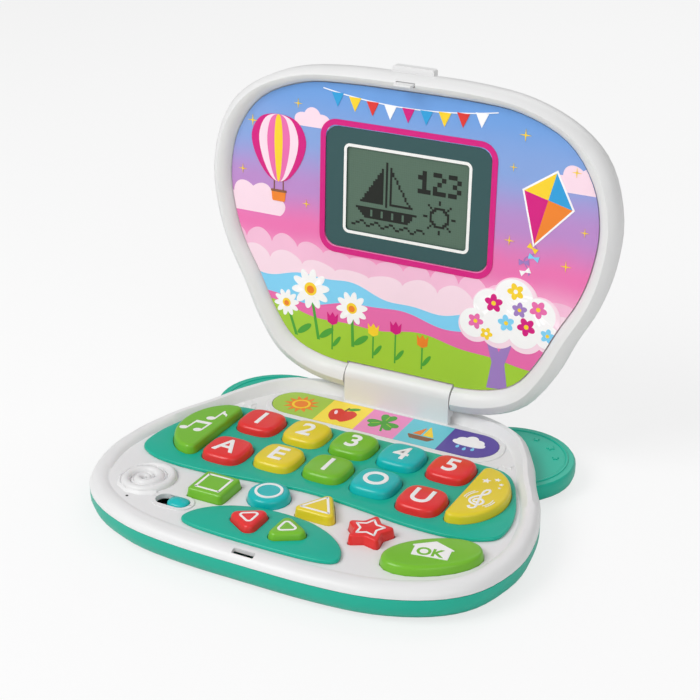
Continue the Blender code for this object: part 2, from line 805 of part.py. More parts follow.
def screw(bm, at, low, length):
    """A pan-head screw, point up, with its head at the bottom."""
    head = circle(SCREW_HEAD_RADIUS, at, 10)
    shank = circle(SCREW_SHANK_RADIUS, at, 10)
    tip = circle(SCREW_SHANK_RADIUS / 2, at, 10)
    seat = low + SCREW_HEAD_HEIGHT - 0.4 - FIT
    rings = [(head, low), (head, seat), (shank, seat), (shank, low + length - 1), (tip, low + length)]
    return loft(bm, rings)


def make_underside():
    """Feet, case screws and the battery cover with its screw."""
    for i, at in enumerate(FEET):
        foot = [(circle(FOOT_RADIUS - 0.5, at), 0.0), (circle(FOOT_RADIUS, at), 0.5)]
        foot.append((circle(FOOT_RADIUS, at), FOOT_HEIGHT))
        add_object(f"foot_{i + 1}", loft(bmesh.new(), foot), MATERIALS["rubber"])
    for i, at in enumerate(BASE_SCREWS):
        case_screw = screw(bmesh.new(), at, BASE_BOTTOM + 0.2, CASE_SCREW_LENGTH)
        add_object(f"case_screw_{i + 1}", case_screw, MATERIALS["steel"])
    length, depth = bay_size()
    size = (length - 2 * FIT, depth - 2 * FIT)
    cover = block(
        bmesh.new(), rectangle(size, 0.8, (0.0, BAY_Y), 1), BASE_BOTTOM, BASE_BOTTOM + COVER_THICKNESS
    )
    cover = add_object("battery_cover", cover, MATERIALS["teal"])
    at = (0.0, BAY_Y + depth / 2 - 2.2)
    hole = block(bmesh.new(), circle(1.2 + FIT, at, 12), BASE_BOTTOM - 1, BASE_BOTTOM + COVER_THICKNESS + 1)
    boolean(cover, helper("cover_screw_hole", hole), "DIFFERENCE")
    stud = [(circle(1.2, at, 12), BASE_BOTTOM + 0.1), (circle(1.2, at, 12), BASE_BOTTOM + COVER_THICKNESS)]
    add_object("battery_cover_screw", loft(bmesh.new(), stud), MATERIALS["steel"])


def make_battery_bay():
    """An inverted tray, the cells and their end contacts."""
    length, depth = bay_size()
    low = BASE_BOTTOM + WALL + FIT
    high = DECK_TOP - WALL - FIT
    outer = rectangle((length + 2 * TRAY_WALL, depth + 2 * TRAY_WALL), 1.0, (0.0, BAY_Y), 1)
    inner = rectangle((length, depth), 0.6, (0.0, BAY_Y), 1)
    roof = high - TRAY_WALL
    tray = loft(bmesh.new(), [(inner, roof), (inner, low), (outer, low), (outer, high)])
    bmesh.ops.recalc_face_normals(tray, faces=tray.faces)
    add_object("battery_tray", tray, MATERIALS["black"])

    cell_z = BASE_BOTTOM + COVER_THICKNESS + FIT + CELL_RADIUS
    end = CELL_LENGTH / 2
    for i in range(round(CELL_COUNT)):
        y = BAY_Y + (i - (CELL_COUNT - 1) / 2) * (2 * CELL_RADIUS + CELL_GAP)
        sections = [(CELL_RADIUS, -end), (CELL_RADIUS, end), (1.9, end), (1.9, end + CELL_NIPPLE)]
        cell = loft(bmesh.new(), [(circle(r, count=14), z - CELL_NIPPLE / 2) for r, z in sections])
        obj = add_object(f"battery_{i + 1}", cell, MATERIALS["cell"])
        obj.location = Vector((0.0, y, cell_z)) * MM
        obj.rotation_euler = (0.0, math.radians(90 if i % 2 else -90), 0.0)
    reach = (CELL_LENGTH + CELL_NIPPLE) / 2 + FIT
    for name, side in (("contact_left", -1), ("contact_right", 1)):
        x = side * (reach + CONTACT_THICKNESS / 2)
        plate = rectangle((CONTACT_THICKNESS, depth - 2 * FIT), 0.1, (x, BAY_Y), 1)
        strip = block(bmesh.new(), plate, cell_z - 4.2, cell_z + 4.2)
        add_object(name, strip, MATERIALS["steel"])


def make_electronics():
    """The circuit board, the rubber key sheet, the speaker and the slide switch."""
    board_back = NUMBER_ROW_Y + KEY_SIZE / 2
    board_front = ARROW_Y - 5.2
    waist = SPEAKER_AT[1] + SPEAKER_RADIUS + 3
    left = SPEAKER_AT[0] + SPEAKER_RADIUS + 3
    wide = 2 * KEY_PITCH + KEY_SIZE / 2 + MUSIC_GAP + MUSIC_WIDTH - 4
    corners = [
        (left, board_front, 2.0),
        (wide - BOARD_CHAMFER[0], board_front, 2.0),
        (wide, waist - BOARD_CHAMFER[1], 2.0),
        (wide, board_back, 2.0),
        (-wide, board_back, 2.0),
        (-wide, waist, 2.0),
        (left, waist, 2.0),
    ]
    outline = filleted(corners, 2)
    boss_holes = bmesh.new()
    for at in BASE_SCREWS:
        block(boss_holes, circle(BOSS_RADIUS + 1.0, at, 12), BOARD_Z - 2, DECK_TOP)
    boss_holes = helper("board_boss_holes", boss_holes)
    top = BOARD_Z + BOARD_THICKNESS
    board = add_object("main_board", block(bmesh.new(), outline, BOARD_Z, top), MATERIALS["board"])
    boolean(board, boss_holes, "DIFFERENCE")

    sheet_top = top + FIT + MEMBRANE_THICKNESS
    sheet_outline = offset(outline, -1.0)
    sheet = block(bmesh.new(), sheet_outline, top + FIT, sheet_top)
    sheet = add_object("keypad_membrane", sheet, MATERIALS["membrane"])
    domes = bmesh.new()
    for key, key_outline, _, on_plate in KEYS:
        x = sum(p[0] for p in key_outline) / len(key_outline)
        y = sum(p[1] for p in key_outline) / len(key_outline)
        crest = key_levels(key, on_plate)[2] - 2 * KEY_SKIN - KEY_TRAVEL - FIT
        base = circle(DOME_RADIUS, (x, y), 6)
        loft(domes, [(base, top + FIT + 0.3), (base, sheet_top + 0.3), (offset(base, -0.9), crest)])
    boolean(sheet, helper("key_domes", domes), "UNION")
    boolean(sheet, boss_holes, "DIFFERENCE")
    window = rectangle((SLOT_SIZE[0] + 8, SLOT_SIZE[1] + 4), 1.0, SLOT_AT, 1)
    window = helper("switch_window", block(bmesh.new(), window, top - 0.2, sheet_top + 1))
    boolean(sheet, window, "DIFFERENCE")

    rim = DECK_TOP - WALL - FIT
    cone = [(6.5, rim - 8.4), (6.5, rim - 5.2), (SPEAKER_RADIUS - 2.5, rim - 1.6)]
    cone += [(SPEAKER_RADIUS, rim - 1.6), (SPEAKER_RADIUS, rim)]
    speaker = loft(bmesh.new(), [(circle(r, SPEAKER_AT, 18), z) for r, z in cone])
    add_object("speaker", speaker, MATERIALS["black"])

    slider_top = DECK_TOP - WALL - FIT
    slider_low = slider_top - 1.4
    switch = rectangle((14.0, 6.0), 0.4, SLOT_AT, 1)
    switch = block(bmesh.new(), switch, top + FIT, slider_low - FIT)
    add_object("power_switch", switch, MATERIALS["steel"])
    knob_x = SLOT_AT[0] + KNOB_TRAVEL / 2
    flange = (KNOB_SIZE[0] + KNOB_TRAVEL + 4 * SLIDER_OVERLAP, SLOT_SIZE[1] + 2 * SLIDER_OVERLAP)
    knob_outline = rectangle(KNOB_SIZE, KNOB_SIZE[1] / 2 - 0.05, (knob_x, SLOT_AT[1]), 4)
    slider = bmesh.new()
    flange_outline = rectangle(flange, flange[1] / 2 - 0.05, (knob_x, SLOT_AT[1]), 4)
    crown = DECK_TOP + KNOB_RISE
    rings = [(flange_outline, slider_low), (flange_outline, slider_top), (knob_outline, slider_top)]
    rings += [(knob_outline, crown - 1.6), (offset(knob_outline, -1.0), crown - 0.4)]
    rings.append((offset(knob_outline, -2.6), crown))
    add_object("power_slider", loft(slider, rings), MATERIALS["blue"])


# The lid is modelled flat, with its hinge axis along X through the pivot and its inner face up


def knuckle_notch(low, high):
    """The gap in the lid's lower edge that takes the hinge knuckle."""
    reach = KNUCKLE_RADIUS + KNUCKLE_GAP
    half = KNUCKLE_HALF + KNUCKLE_GAP
    outline = [(-half, -AXIS_FROM_BACK - 4), (half, -AXIS_FROM_BACK - 4), (half, reach), (-half, reach)]
    return block(bmesh.new(), outline, low, high)


def art_outline():
    """The printed panel fills the recess inside the lid's rim, down to the hinge knuckle."""
    return offset(RECESS_OUTLINE, -FIT)


def make_lid(lid):
    """Front frame, back shell, printed panel, screen and latch, all under the lid's pivot."""
    profile = [(0.0, FIT / 2)]
    profile += [(share, LID_RIM - depth) for share, depth in LID_RIM_SECTION]
    profile.append((1.0, LID_FLOOR))
    rings = [(between(LID_OUTLINE, RECESS_OUTLINE, share), w) for share, w in profile]
    frame = loft(bmesh.new(), rings, open_start=True)
    frame = add_object("lid_front_frame", frame, MATERIALS["white"], lid)
    hollow(frame, LID_WALL)
    floor_low = LID_FLOOR - LID_WALL

    bosses = bmesh.new()
    for at in LID_SCREWS:
        block(bosses, circle(LID_BOSS_RADIUS, at, 12), LID_BACK + LID_WALL + FIT, floor_low + 0.6)
    boolean(frame, helper("lid_bosses", bosses, lid), "UNION")
    for side, name in ((-1, "left"), (1, "right")):
        inner = KNUCKLE_HALF + KNUCKLE_GAP
        outer = inner + LUG_LENGTH
        x = side * (inner + outer) / 2
        web = rectangle((LUG_LENGTH, 2 * LUG_RADIUS + 1.6), 0.2, (x, -0.2), 1)
        web = block(bmesh.new(), web, FIT, LID_RIM - 2.6)
        boolean(frame, helper(f"lug_web_{name}", web, lid), "UNION")
        lug = axis_cylinder(bmesh.new(), LUG_RADIUS, *sorted((side * inner, side * outer)))
        boolean(frame, helper(f"lug_{name}", lug, lid), "UNION")

    cuts = knuckle_notch(LID_BACK - 1, LID_RIM + 1)
    opening = (LCD_SIZE[0] + 2 * FIT, LCD_SIZE[1] + 2 * FIT)
    block(cuts, rectangle(opening, 1.0, (0.0, LCD_V), 1), floor_low - 1, LID_FLOOR + 1)
    for at in LID_SCREWS:
        block(cuts, circle(SCREW_SHANK_RADIUS + FIT, at, 10), LID_BACK, floor_low + 0.4)
    slot = (LATCH_WIDTH + 2 * FIT, LATCH_THICKNESS + 2 * FIT)
    block(cuts, rectangle(slot, 0.2, (0.0, LATCH_FROM_AXIS), 1), LID_RIM - 3, LID_RIM + 1)
    boolean(frame, helper("lid_frame_openings", cuts, lid), "DIFFERENCE")
    bores = bmesh.new()
    pin_end = KNUCKLE_HALF + KNUCKLE_GAP + PIN_IN_LID + 1
    for side in (-1, 1):
        ends = sorted((side * (KNUCKLE_HALF - 1), side * pin_end))
        axis_cylinder(bores, PIN_RADIUS + RUNNING, *ends)
    boolean(frame, helper("hinge_bores", bores, lid), "DIFFERENCE")

    back_profile = [
        (0.0, -FIT / 2),
        (0.0, LID_BACK + 3.6),
        (-1.8, LID_BACK + 1.4),
        (-4.6, LID_BACK + 0.3),
        (-8.6, LID_BACK),
    ]
    back = loft(bmesh.new(), profiled(LID_OUTLINE, back_profile), open_start=True)
    back = add_object("lid_back_shell", back, MATERIALS["white"], lid)
    hollow(back, LID_WALL)
    top = OUTLINE_LENGTH - AXIS_FROM_BACK
    tab = rectangle((2 * TAB_HALF_WIDTH, 2 * TAB_REACH + 1.0), 1.2, (0.0, top + 0.1), 3)
    tab = block(bmesh.new(), tab, -FIT / 2 - TAB_THICKNESS, -FIT / 2 - 0.5)
    boolean(back, helper("finger_tab", tab, lid), "UNION")
    core = block(bmesh.new(), offset(LID_OUTLINE, -LID_WALL - 0.1), LID_BACK + LID_WALL + 0.6, FIT)
    boolean(back, helper("finger_tab_core", core, lid), "DIFFERENCE")
    cuts = knuckle_notch(LID_BACK - 1, LID_RIM + 1)
    for at in LID_SCREWS:
        head = offset(circle(SCREW_HEAD_RADIUS, at, 12), FIT)
        shank = offset(circle(SCREW_SHANK_RADIUS, at, 12), FIT)
        floor = LID_BACK + SCREW_HEAD_HEIGHT - 0.4
        loft(cuts, [(head, LID_BACK - 1), (head, floor), (shank, floor), (shank, LID_BACK + LID_WALL + 1)])
    boolean(back, helper("lid_back_openings", cuts, lid), "DIFFERENCE")
    for i, at in enumerate(LID_SCREWS):
        lid_screw = screw(bmesh.new(), at, LID_BACK + 0.2, LID_SCREW_LENGTH)
        add_object(f"lid_screw_{i + 1}", lid_screw, MATERIALS["steel"], lid)

    panel = block(bmesh.new(), art_outline(), ART_TOP - ART_THICKNESS, ART_TOP)
    panel = add_object("artwork_panel", panel, MATERIALS["print"], lid)
    cuts = knuckle_notch(LID_FLOOR - 1, LID_RIM)
    block(cuts, rectangle(SCREEN_SIZE, SCREEN_CORNER, (0.0, SCREEN_V), 4), LID_FLOOR - 1, LID_RIM)
    boolean(panel, helper("artwork_openings", cuts, lid), "DIFFERENCE")

    low = LID_FLOOR + FIT
    bezel_size = (SCREEN_SIZE[0] - 2 * FIT, SCREEN_SIZE[1] - 2 * FIT)
    bezel = rectangle(bezel_size, SCREEN_CORNER - FIT, (0.0, SCREEN_V), 4)
    bezel = block(bmesh.new(), bezel, low, low + BEZEL_THICKNESS)
    bezel = add_object("screen_bezel", bezel, MATERIALS["dark"], lid)
    view = block(bmesh.new(), rectangle(LCD_VIEW, 2.0, (0.0, LCD_V), 2), low - 1, low + BEZEL_THICKNESS + 1)
    boolean(bezel, helper("screen_view", view, lid), "DIFFERENCE")
    lcd_top = low - FIT
    lcd = block(bmesh.new(), rectangle(LCD_SIZE, 0.6, (0.0, LCD_V), 1), lcd_top - LCD_THICKNESS, lcd_top)
    add_object("lcd_panel", lcd, MATERIALS["lcd"], lid)
    board_top = min(lcd_top - LCD_THICKNESS, floor_low) - FIT
    board = rectangle(LCD_BOARD_SIZE, 1.0, (0.0, LCD_V), 1)
    board = block(bmesh.new(), board, board_top - LCD_BOARD_THICKNESS, board_top)
    add_object("lcd_board", board, MATERIALS["board"], lid)

    root = rectangle((LATCH_WIDTH + 3.0, LATCH_THICKNESS), 0.3, (0.0, LATCH_FROM_AXIS), 1)
    hook = rectangle((LATCH_WIDTH, LATCH_THICKNESS), 0.3, (0.0, LATCH_FROM_AXIS), 1)
    root_top = LID_RIM - LID_WALL - 1.2
    rings = [(root, root_top - 1.0), (root, root_top), (hook, root_top), (hook, LID_RIM + LATCH_REACH - 0.8)]
    rings.append((offset(hook, -0.3), LID_RIM + LATCH_REACH))
    add_object("latch_hook", loft(bmesh.new(), rings), MATERIALS["white"], lid)


def make_hinge():
    """The two pins that carry the lid on the knuckle."""
    axis = pivot("hinge_axis", (0.0, AXIS_Y, AXIS_Z))
    seat = PIN_LENGTH - PIN_IN_LID - KNUCKLE_GAP
    for direction, name in ((-1, "hinge_pin_left"), (1, "hinge_pin_right")):
        ends = sorted((direction * (KNUCKLE_HALF - seat), direction * (KNUCKLE_HALF - seat + PIN_LENGTH)))
        add_object(name, axis_cylinder(bmesh.new(), PIN_RADIUS, *ends), MATERIALS["steel"], axis)


def main():
    """Build the toy with its lid open."""
    make_top_shell()
    make_bottom_shell()
    make_underside()
    make_battery_bay()
    make_electronics()
    make_plates()
    make_keys()
    make_hinge()
    lid = pivot("lid_pivot", (0.0, AXIS_Y, AXIS_Z), (math.radians(90 - LEAN), 0.0, 0.0))
    make_lid(lid)


main()
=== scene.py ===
"""Looks of the toy laptop: refined mouldings, keys with legends, printed sheets, display and studio.

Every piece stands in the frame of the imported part, in metres; sizes below are in millimetres.
"""

import json
import logging
import math
from collections.abc import Callable
from dataclasses import dataclass, field
from enum import Enum
from typing import Any

import bpy
from mathutils import Matrix, Vector

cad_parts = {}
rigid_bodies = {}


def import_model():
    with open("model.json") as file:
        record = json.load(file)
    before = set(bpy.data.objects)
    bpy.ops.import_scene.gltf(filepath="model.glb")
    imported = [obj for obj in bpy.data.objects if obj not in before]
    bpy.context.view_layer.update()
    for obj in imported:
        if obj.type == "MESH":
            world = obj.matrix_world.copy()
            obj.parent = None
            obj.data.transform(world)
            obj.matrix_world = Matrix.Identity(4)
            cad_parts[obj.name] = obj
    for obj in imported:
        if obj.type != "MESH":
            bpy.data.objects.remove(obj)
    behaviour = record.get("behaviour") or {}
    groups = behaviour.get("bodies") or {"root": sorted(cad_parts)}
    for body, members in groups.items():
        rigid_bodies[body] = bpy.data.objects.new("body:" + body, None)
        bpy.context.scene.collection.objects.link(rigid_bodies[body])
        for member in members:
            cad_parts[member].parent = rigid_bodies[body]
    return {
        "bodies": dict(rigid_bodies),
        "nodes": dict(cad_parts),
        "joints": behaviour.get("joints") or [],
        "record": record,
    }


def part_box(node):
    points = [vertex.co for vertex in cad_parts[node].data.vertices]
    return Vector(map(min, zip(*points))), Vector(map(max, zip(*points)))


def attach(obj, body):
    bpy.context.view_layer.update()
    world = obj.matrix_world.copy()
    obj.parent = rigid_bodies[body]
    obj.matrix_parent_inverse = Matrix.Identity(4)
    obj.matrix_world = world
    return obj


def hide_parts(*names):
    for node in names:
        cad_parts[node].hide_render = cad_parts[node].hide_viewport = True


LOG = logging.getLogger("toy_laptop")
MM = 0.001

# Points nearer than these, in metres, are one point
CAD_WELD = 2e-6
CURVE_WELD = 1e-5

# Half the width that a print across the whole panel is drawn with, before it is cut to the panel
PANEL_REACH = 110.0

PURE_WHITE = (1.0, 1.0, 1.0, 1.0)

Point = tuple[float, float]
Triple = tuple[float, float, float]
Outline = list[Point]
Tree = bpy.types.NodeTree
Socket = bpy.types.NodeSocket

# The lid's own plane: u along the hinge, v up the lid from the hinge axis, w out of its inner face
HINGE_Y = 70.45
HINGE_Z = 31.0
LEAN = math.radians(2.3)
LID_PLACE = Matrix(
    (
        (1.0, 0.0, 0.0, 0.0),
        (0.0, math.sin(LEAN), -math.cos(LEAN), HINGE_Y * MM),
        (0.0, math.cos(LEAN), math.sin(LEAN), HINGE_Z * MM),
        (0.0, 0.0, 0.0, 1.0),
    )
)


# Outlines


def turned(outline: Outline, at: Point = (0.0, 0.0), degrees: float = 0.0) -> Outline:
    """Turn an outline about its origin and move it.

    Args:
        outline: points in millimetres.
        at: where its origin goes.
        degrees: turn, anticlockwise.

    Returns:
        The new outline.
    """
    c, s = math.cos(math.radians(degrees)), math.sin(math.radians(degrees))
    return [(at[0] + x * c - y * s, at[1] + x * s + y * c) for x, y in outline]


def superellipse(half_x: float, half_y: float, power: float = 2.0, count: int = 64) -> Outline:
    """Draw a rounded square about the origin.

    Args:
        half_x: half its width.
        half_y: half its depth.
        power: 2 gives an ellipse, more gives squarer corners.
        count: number of points.

    Returns:
        The outline, anticlockwise.
    """
    made = []
    for i in range(count):
        c, s = math.cos(2 * math.pi * i / count), math.sin(2 * math.pi * i / count)
        x = math.copysign(half_x * abs(c) ** (2 / power), c)
        made.append((x, math.copysign(half_y * abs(s) ** (2 / power), s)))
    return made


def filleted(corners: list[Triple], steps: int = 8) -> Outline:
    """Round the corners of a polygon.

    Args:
        corners: (x, y, radius) of each corner.
        steps: segments in each round.

    Returns:
        The outline.
    """
    made = []
    for i, (x, y, radius) in enumerate(corners):
        here = Vector((x, y))
        if radius <= 0:
            made.append((x, y))
            continue
        one = (Vector(corners[i - 1][:2]) - here).normalized()
        two = (Vector(corners[(i + 1) % len(corners)][:2]) - here).normalized()
        half = one.angle(two) / 2
        centre = here + (one + two).normalized() * (radius / math.sin(half))
        start = here + one * (radius / math.tan(half)) - centre
        sweep = math.pi - 2 * half
        if one.x * two.y - one.y * two.x > 0:
            sweep = -sweep
        for j in range(steps + 1):
            place = centre + Matrix.Rotation(sweep * j / steps, 2) @ start
            made.append((place.x, place.y))
    return made


def rounded_box(width: float, depth: float, corner: float, at: Point = (0.0, 0.0)) -> Outline:
    """Draw a rectangle with round corners about a place, and return its outline."""
    x, y = width / 2, depth / 2
    corner = min(corner, x - 0.01, y - 0.01)
    box = [(-x, -y, corner), (x, -y, corner), (x, y, corner), (-x, y, corner)]
    return turned(filleted(box), at)


def smoothed(points: Outline, steps: int = 5) -> Outline:
    """Run a closed Catmull-Rom curve through points.

    Args:
        points: the points that it passes.
        steps: segments between two of them.

    Returns:
        The finer outline.
    """
    made = []
    for i in range(len(points)):
        a, b, c, d = (Vector(points[(i + k) % len(points)]) for k in (-1, 0, 1, 2))
        for j in range(steps):
            t = j / steps
            bend = (c - a) * t + (2 * a - 5 * b + 4 * c - d) * t**2 + (3 * (b - c) + d - a) * t**3
            place = b + bend / 2
            made.append((place.x, place.y))
    return made


def star(outer: float, inner: float, tips: int = 5, corner: float = 0.0) -> Outline:
    """Draw a star, one tip up.

    Args:
        outer: radius of its tips.
        inner: radius between them.
        tips: number of tips.
        corner: radius that rounds both.

    Returns:
        The outline.
    """
    corners = []
    for i in range(2 * tips):
        radius = inner if i % 2 else outer
        angle = math.pi / 2 + math.pi * i / tips
        corners.append((radius * math.cos(angle), radius * math.sin(angle), corner))
    return filleted(corners, 5)


def grown(outline: Outline, distance: float) -> Outline:
    """Offset an outline.

    Args:
        outline: anticlockwise points.
        distance: how far outwards.

    Returns:
        The offset outline, point for point.
    """
    made = []
    for i, point in enumerate(outline):
        here = Vector(point)
        into = (here - Vector(outline[i - 1])).normalized()
        out = (Vector(outline[(i + 1) % len(outline)]) - here).normalized()
        side = Vector((into.y + out.y, -into.x - out.x)).normalized()
        place = here + side * (distance / max(0.5, side.dot(Vector((out.y, -out.x)))))
        made.append((place.x, place.y))
    return made


def anticlockwise(outline: Outline) -> Outline:
    """Return the outline turned round if it runs clockwise."""
    pairs = zip(outline, outline[1:] + outline[:1])
    area = sum(a[0] * b[1] - b[0] * a[1] for a, b in pairs)
    return outline if area > 0 else outline[::-1]


# Modelling by operators


def deselect() -> None:
    """Leave edit mode and select nothing."""
    if bpy.context.mode != "OBJECT":
        bpy.ops.object.mode_set(mode="OBJECT")
    bpy.ops.object.select_all(action="DESELECT")


def take(obj: bpy.types.Object) -> None:
    """Make the object the only selected one, and the active one."""
    deselect()
    obj.select_set(True)
    bpy.context.view_layer.objects.active = obj


def edit(obj: bpy.types.Object) -> None:
    """Enter edit mode on the object, with all of its faces selected."""
    take(obj)
    bpy.ops.object.mode_set(mode="EDIT")
    bpy.ops.mesh.select_mode(type="FACE")
    bpy.ops.mesh.select_all(action="SELECT")


def choose(obj: bpy.types.Object, wanted: Callable[[bpy.types.MeshPolygon], bool]) -> None:
    """Enter edit mode on the object, with only some of its faces selected.

    Args:
        obj: the object.
        wanted: tells whether a face is selected.
    """
    edit(obj)
    bpy.ops.mesh.select_all(action="DESELECT")
    bpy.ops.object.mode_set(mode="OBJECT")
    for face in obj.data.polygons:
        face.select = wanted(face)
    bpy.ops.object.mode_set(mode="EDIT")


def lift(rise: float) -> None:
    """Extrude the selected faces upright by a rise in millimetres."""
    bpy.ops.mesh.extrude_region_move(TRANSFORM_OT_translate={"value": (0.0, 0.0, rise * MM)})


def modify(obj: bpy.types.Object, kind: str, **settings: Any) -> None:
    """Apply a modifier to an object.

    Args:
        obj: the object.
        kind: the modifier's type.
        settings: the modifier's attributes.
    """
    take(obj)
    modifier = obj.modifiers.new(kind.lower(), kind)
    for name, value in settings.items():
        setattr(modifier, name, value)
    bpy.ops.object.modifier_apply(modifier=modifier.name)


def placed(name: str, data: bpy.types.ID) -> bpy.types.Object:
    """Put an object that holds the data into the scene, and return it."""
    obj = bpy.data.objects.new(name, data)
    bpy.context.scene.collection.objects.link(obj)
    return obj


def levels(node: str) -> Point:
    """Return the lowest and the highest level of a CAD node, in millimetres."""
    low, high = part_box(node)
    return (low.z / MM, high.z / MM)


def flat_face(name: str, outline: Outline, height: float) -> bpy.types.Object:
    """Make one level face from a disc whose rim is moved onto an outline.

    Args:
        name: the object's name.
        outline: where the rim goes, in millimetres.
        height: its level.

    Returns:
        The new object.
    """
    deselect()
    points = anticlockwise(outline)
    bpy.ops.mesh.primitive_circle_add(vertices=len(points), radius=MM, fill_type="NGON")
    obj = bpy.context.object
    obj.name = name
    for vertex, (x, y) in zip(obj.data.vertices, points):
        vertex.co = (x * MM, y * MM, height * MM)
    return obj


def raise_face(obj: bpy.types.Object, steps: list[tuple[float, float]]) -> None:
    """Raise an object's face through extrusions and insets, and close it.

    Args:
        obj: an object of one face.
        steps: (inset, rise) of each step; an inset of 0 is an upright extrusion.
    """
    edit(obj)
    for inset, rise in steps:
        if inset == 0:
            lift(rise)
        else:
            bpy.ops.mesh.inset(thickness=inset * MM, depth=rise * MM, use_even_offset=True)
    close(obj)


def dome_top(obj: bpy.types.Object, rise: float, rings: int = 4) -> None:
    """Crown an object's top face with rings that shrink towards its middle.

    Args:
        obj: an object with one level top face.
        rise: height of the crown.
        rings: number of rings.
    """
    top = max(obj.data.polygons, key=lambda face: face.center.z)
    centre = sum((obj.data.vertices[i].co for i in top.vertices), Vector()) / len(top.vertices)
    index = top.index
    choose(obj, lambda face: face.index == index)
    reach, height = 1.0, 0.0
    for i in range(1, rings + 1):
        angle = math.pi / 2 * i / (rings + 0.4)
        share = math.cos(angle) / reach
        climb = rise * (math.sin(angle) ** 2) - height
        lift(climb)
        bpy.ops.transform.resize(value=(share, share, 1.0), center_override=centre)
        reach, height = math.cos(angle), height + climb
    close(obj)


def close(obj: bpy.types.Object, angle: float = 38.0) -> None:
    """Turn an object's faces outwards and smooth its gentle edges.

    Args:
        obj: the object, in edit mode or not.
        angle: edges below this many degrees are smoothed.
    """
    edit(obj)
    bpy.ops.mesh.normals_make_consistent(inside=False)
    take(obj)
    bpy.ops.object.shade_smooth_by_angle(angle=math.radians(angle))


def round_over(radius: float, steps: int = 4, rise: float | None = None) -> list[tuple[float, float]]:
    """List the steps of a quarter round from a wall onto a top.

    Args:
        radius: how far it comes in.
        steps: number of steps.
        rise: how far it goes up, if not the radius.

    Returns:
        (inset, rise) pairs for raise_face.
    """
    up = radius if rise is None else rise
    angles = [math.pi / 2 * i / steps for i in range(steps + 1)]
    pairs = zip(angles, angles[1:])
    return [(radius * (math.cos(a) - math.cos(b)), up * (math.sin(b) - math.sin(a))) for a, b in pairs]


def plate(name: str, outline: Outline, low: float, high: float) -> bpy.types.Object:
    """Make an upright plate of an outline between two levels, and return it."""
    obj = flat_face(name, outline, low)
    raise_face(obj, [(0.0, high - low)])
    return obj


def line_ring(
    name: str, outline: Outline, width: float, low: float, high: float
) -> bpy.types.Object:
    """Make a raised line that follows an outline on its inside.

    Args:
        name: the object's name.
        outline: its outer edge.
        width: width of the line.
        low: its underside.
        high: its top.

    Returns:
        The new object.
    """
    obj = flat_face(name, outline, low)
    edit(obj)
    bpy.ops.mesh.inset(thickness=width * MM, depth=0.0, use_even_offset=True)
    bpy.ops.mesh.delete(type="FACE")
    bpy.ops.mesh.select_all(action="SELECT")
    lift(high - low)
    close(obj)
    return obj


def lettering(name: str, text: str, height: float, weight: float, depth: float) -> bpy.types.Object:
    """Make words or a sign as a mesh, centred on the origin, its top at level 0.

    Args:
        name: the object's name.
        text: what it says.
        height: height of the sign.
        weight: how much heavier than the font its strokes are, in parts of the size.
        depth: thickness below level 0.

    Returns:
        The new mesh object.
    """
    deselect()
    bpy.ops.object.text_add()
    obj = bpy.context.object
    obj.name = name
    obj.data.body = text
    obj.data.offset = weight
    obj.data.resolution_u = 6
    obj.data.extrude = 0.05
    bpy.ops.object.convert(target="MESH")
    obj = bpy.context.object
    corners = [Vector(corner) for corner in obj.bound_box]
    low = Vector(min(c[i] for c in corners) for i in range(3))
    high = Vector(max(c[i] for c in corners) for i in range(3))
    scale = height * MM / (high.y - low.y)
    thick = depth * MM / (high.z - low.z)
    centre = (low + high) / 2
    centre.z = high.z
    settle(obj, Matrix.Diagonal((scale, scale, thick, 1.0)) @ Matrix.Translation(-centre))
    edit(obj)
    bpy.ops.mesh.remove_doubles(threshold=CURVE_WELD)
    deselect()
    return obj


def stroke(name: str, points: list[Triple], radius: float) -> bpy.types.Object:
    """Make a round bar along points as a mesh.

    Args:
        name: the object's name.
        points: (x, y, thickness as a share of the radius) along it.
        radius: radius of the bar.

    Returns:
        The new mesh object, its middle at level 0.
    """
    deselect()
    curve = bpy.data.curves.new(name, "CURVE")
    curve.dimensions = "3D"
    curve.bevel_depth = radius * MM
    curve.bevel_resolution = 4
    curve.use_fill_caps = True
    spline = curve.splines.new("POLY")
    spline.points.add(len(points) - 1)
    for target, (x, y, share) in zip(spline.points, points):
        target.co = (x * MM, y * MM, 0.0, 1.0)
        target.radius = share
    take(placed(name, curve))
    bpy.ops.object.convert(target="MESH")
    obj = bpy.context.object
    edit(obj)
    bpy.ops.mesh.remove_doubles(threshold=CURVE_WELD)
    close(obj, 50.0)
    return obj


def settle(obj: bpy.types.Object, place: Matrix) -> None:
    """Apply a place to an object's mesh and leave the object at the origin."""
    obj.matrix_world = place
    take(obj)
    bpy.ops.object.transform_apply(location=True, rotation=True, scale=True)


def shift(x: float, y: float, z: float, degrees: float = 0.0, flat: float = 1.0) -> Matrix:
    """Give the matrix of a place on the base.

    Args:
        x: millimetres to the right.
        y: millimetres to the back.
        z: level.
        degrees: turn about the upright axis.
        flat: scale of the height.

    Returns:
        The matrix.
    """
    turn = Matrix.Rotation(math.radians(degrees), 4, "Z") @ Matrix.Diagonal((1.0, 1.0, flat, 1.0))
    return Matrix.Translation(Vector((x, y, z)) * MM) @ turn


def joined(name: str, pieces: list[bpy.types.Object]) -> bpy.types.Object:
    """Join objects into one of that name, and return it."""
    take(pieces[0])
    for piece in pieces:
        piece.select_set(True)
    if len(pieces) > 1:
        bpy.ops.object.join()
    obj = bpy.context.object
    obj.name = name
    return obj


def combine(
    obj: bpy.types.Object, other: bpy.types.Object, operation: str, keep: bool = False
) -> None:
    """Apply a Boolean to an object.

    Args:
        obj: what is changed.
        other: the solid that changes it.
        operation: DIFFERENCE or INTERSECT.
        keep: whether the other solid is kept.
    """
    modify(obj, "BOOLEAN", operation=operation, solver="EXACT", use_self=True, object=other)
    if not keep:
        bpy.data.objects.remove(other)


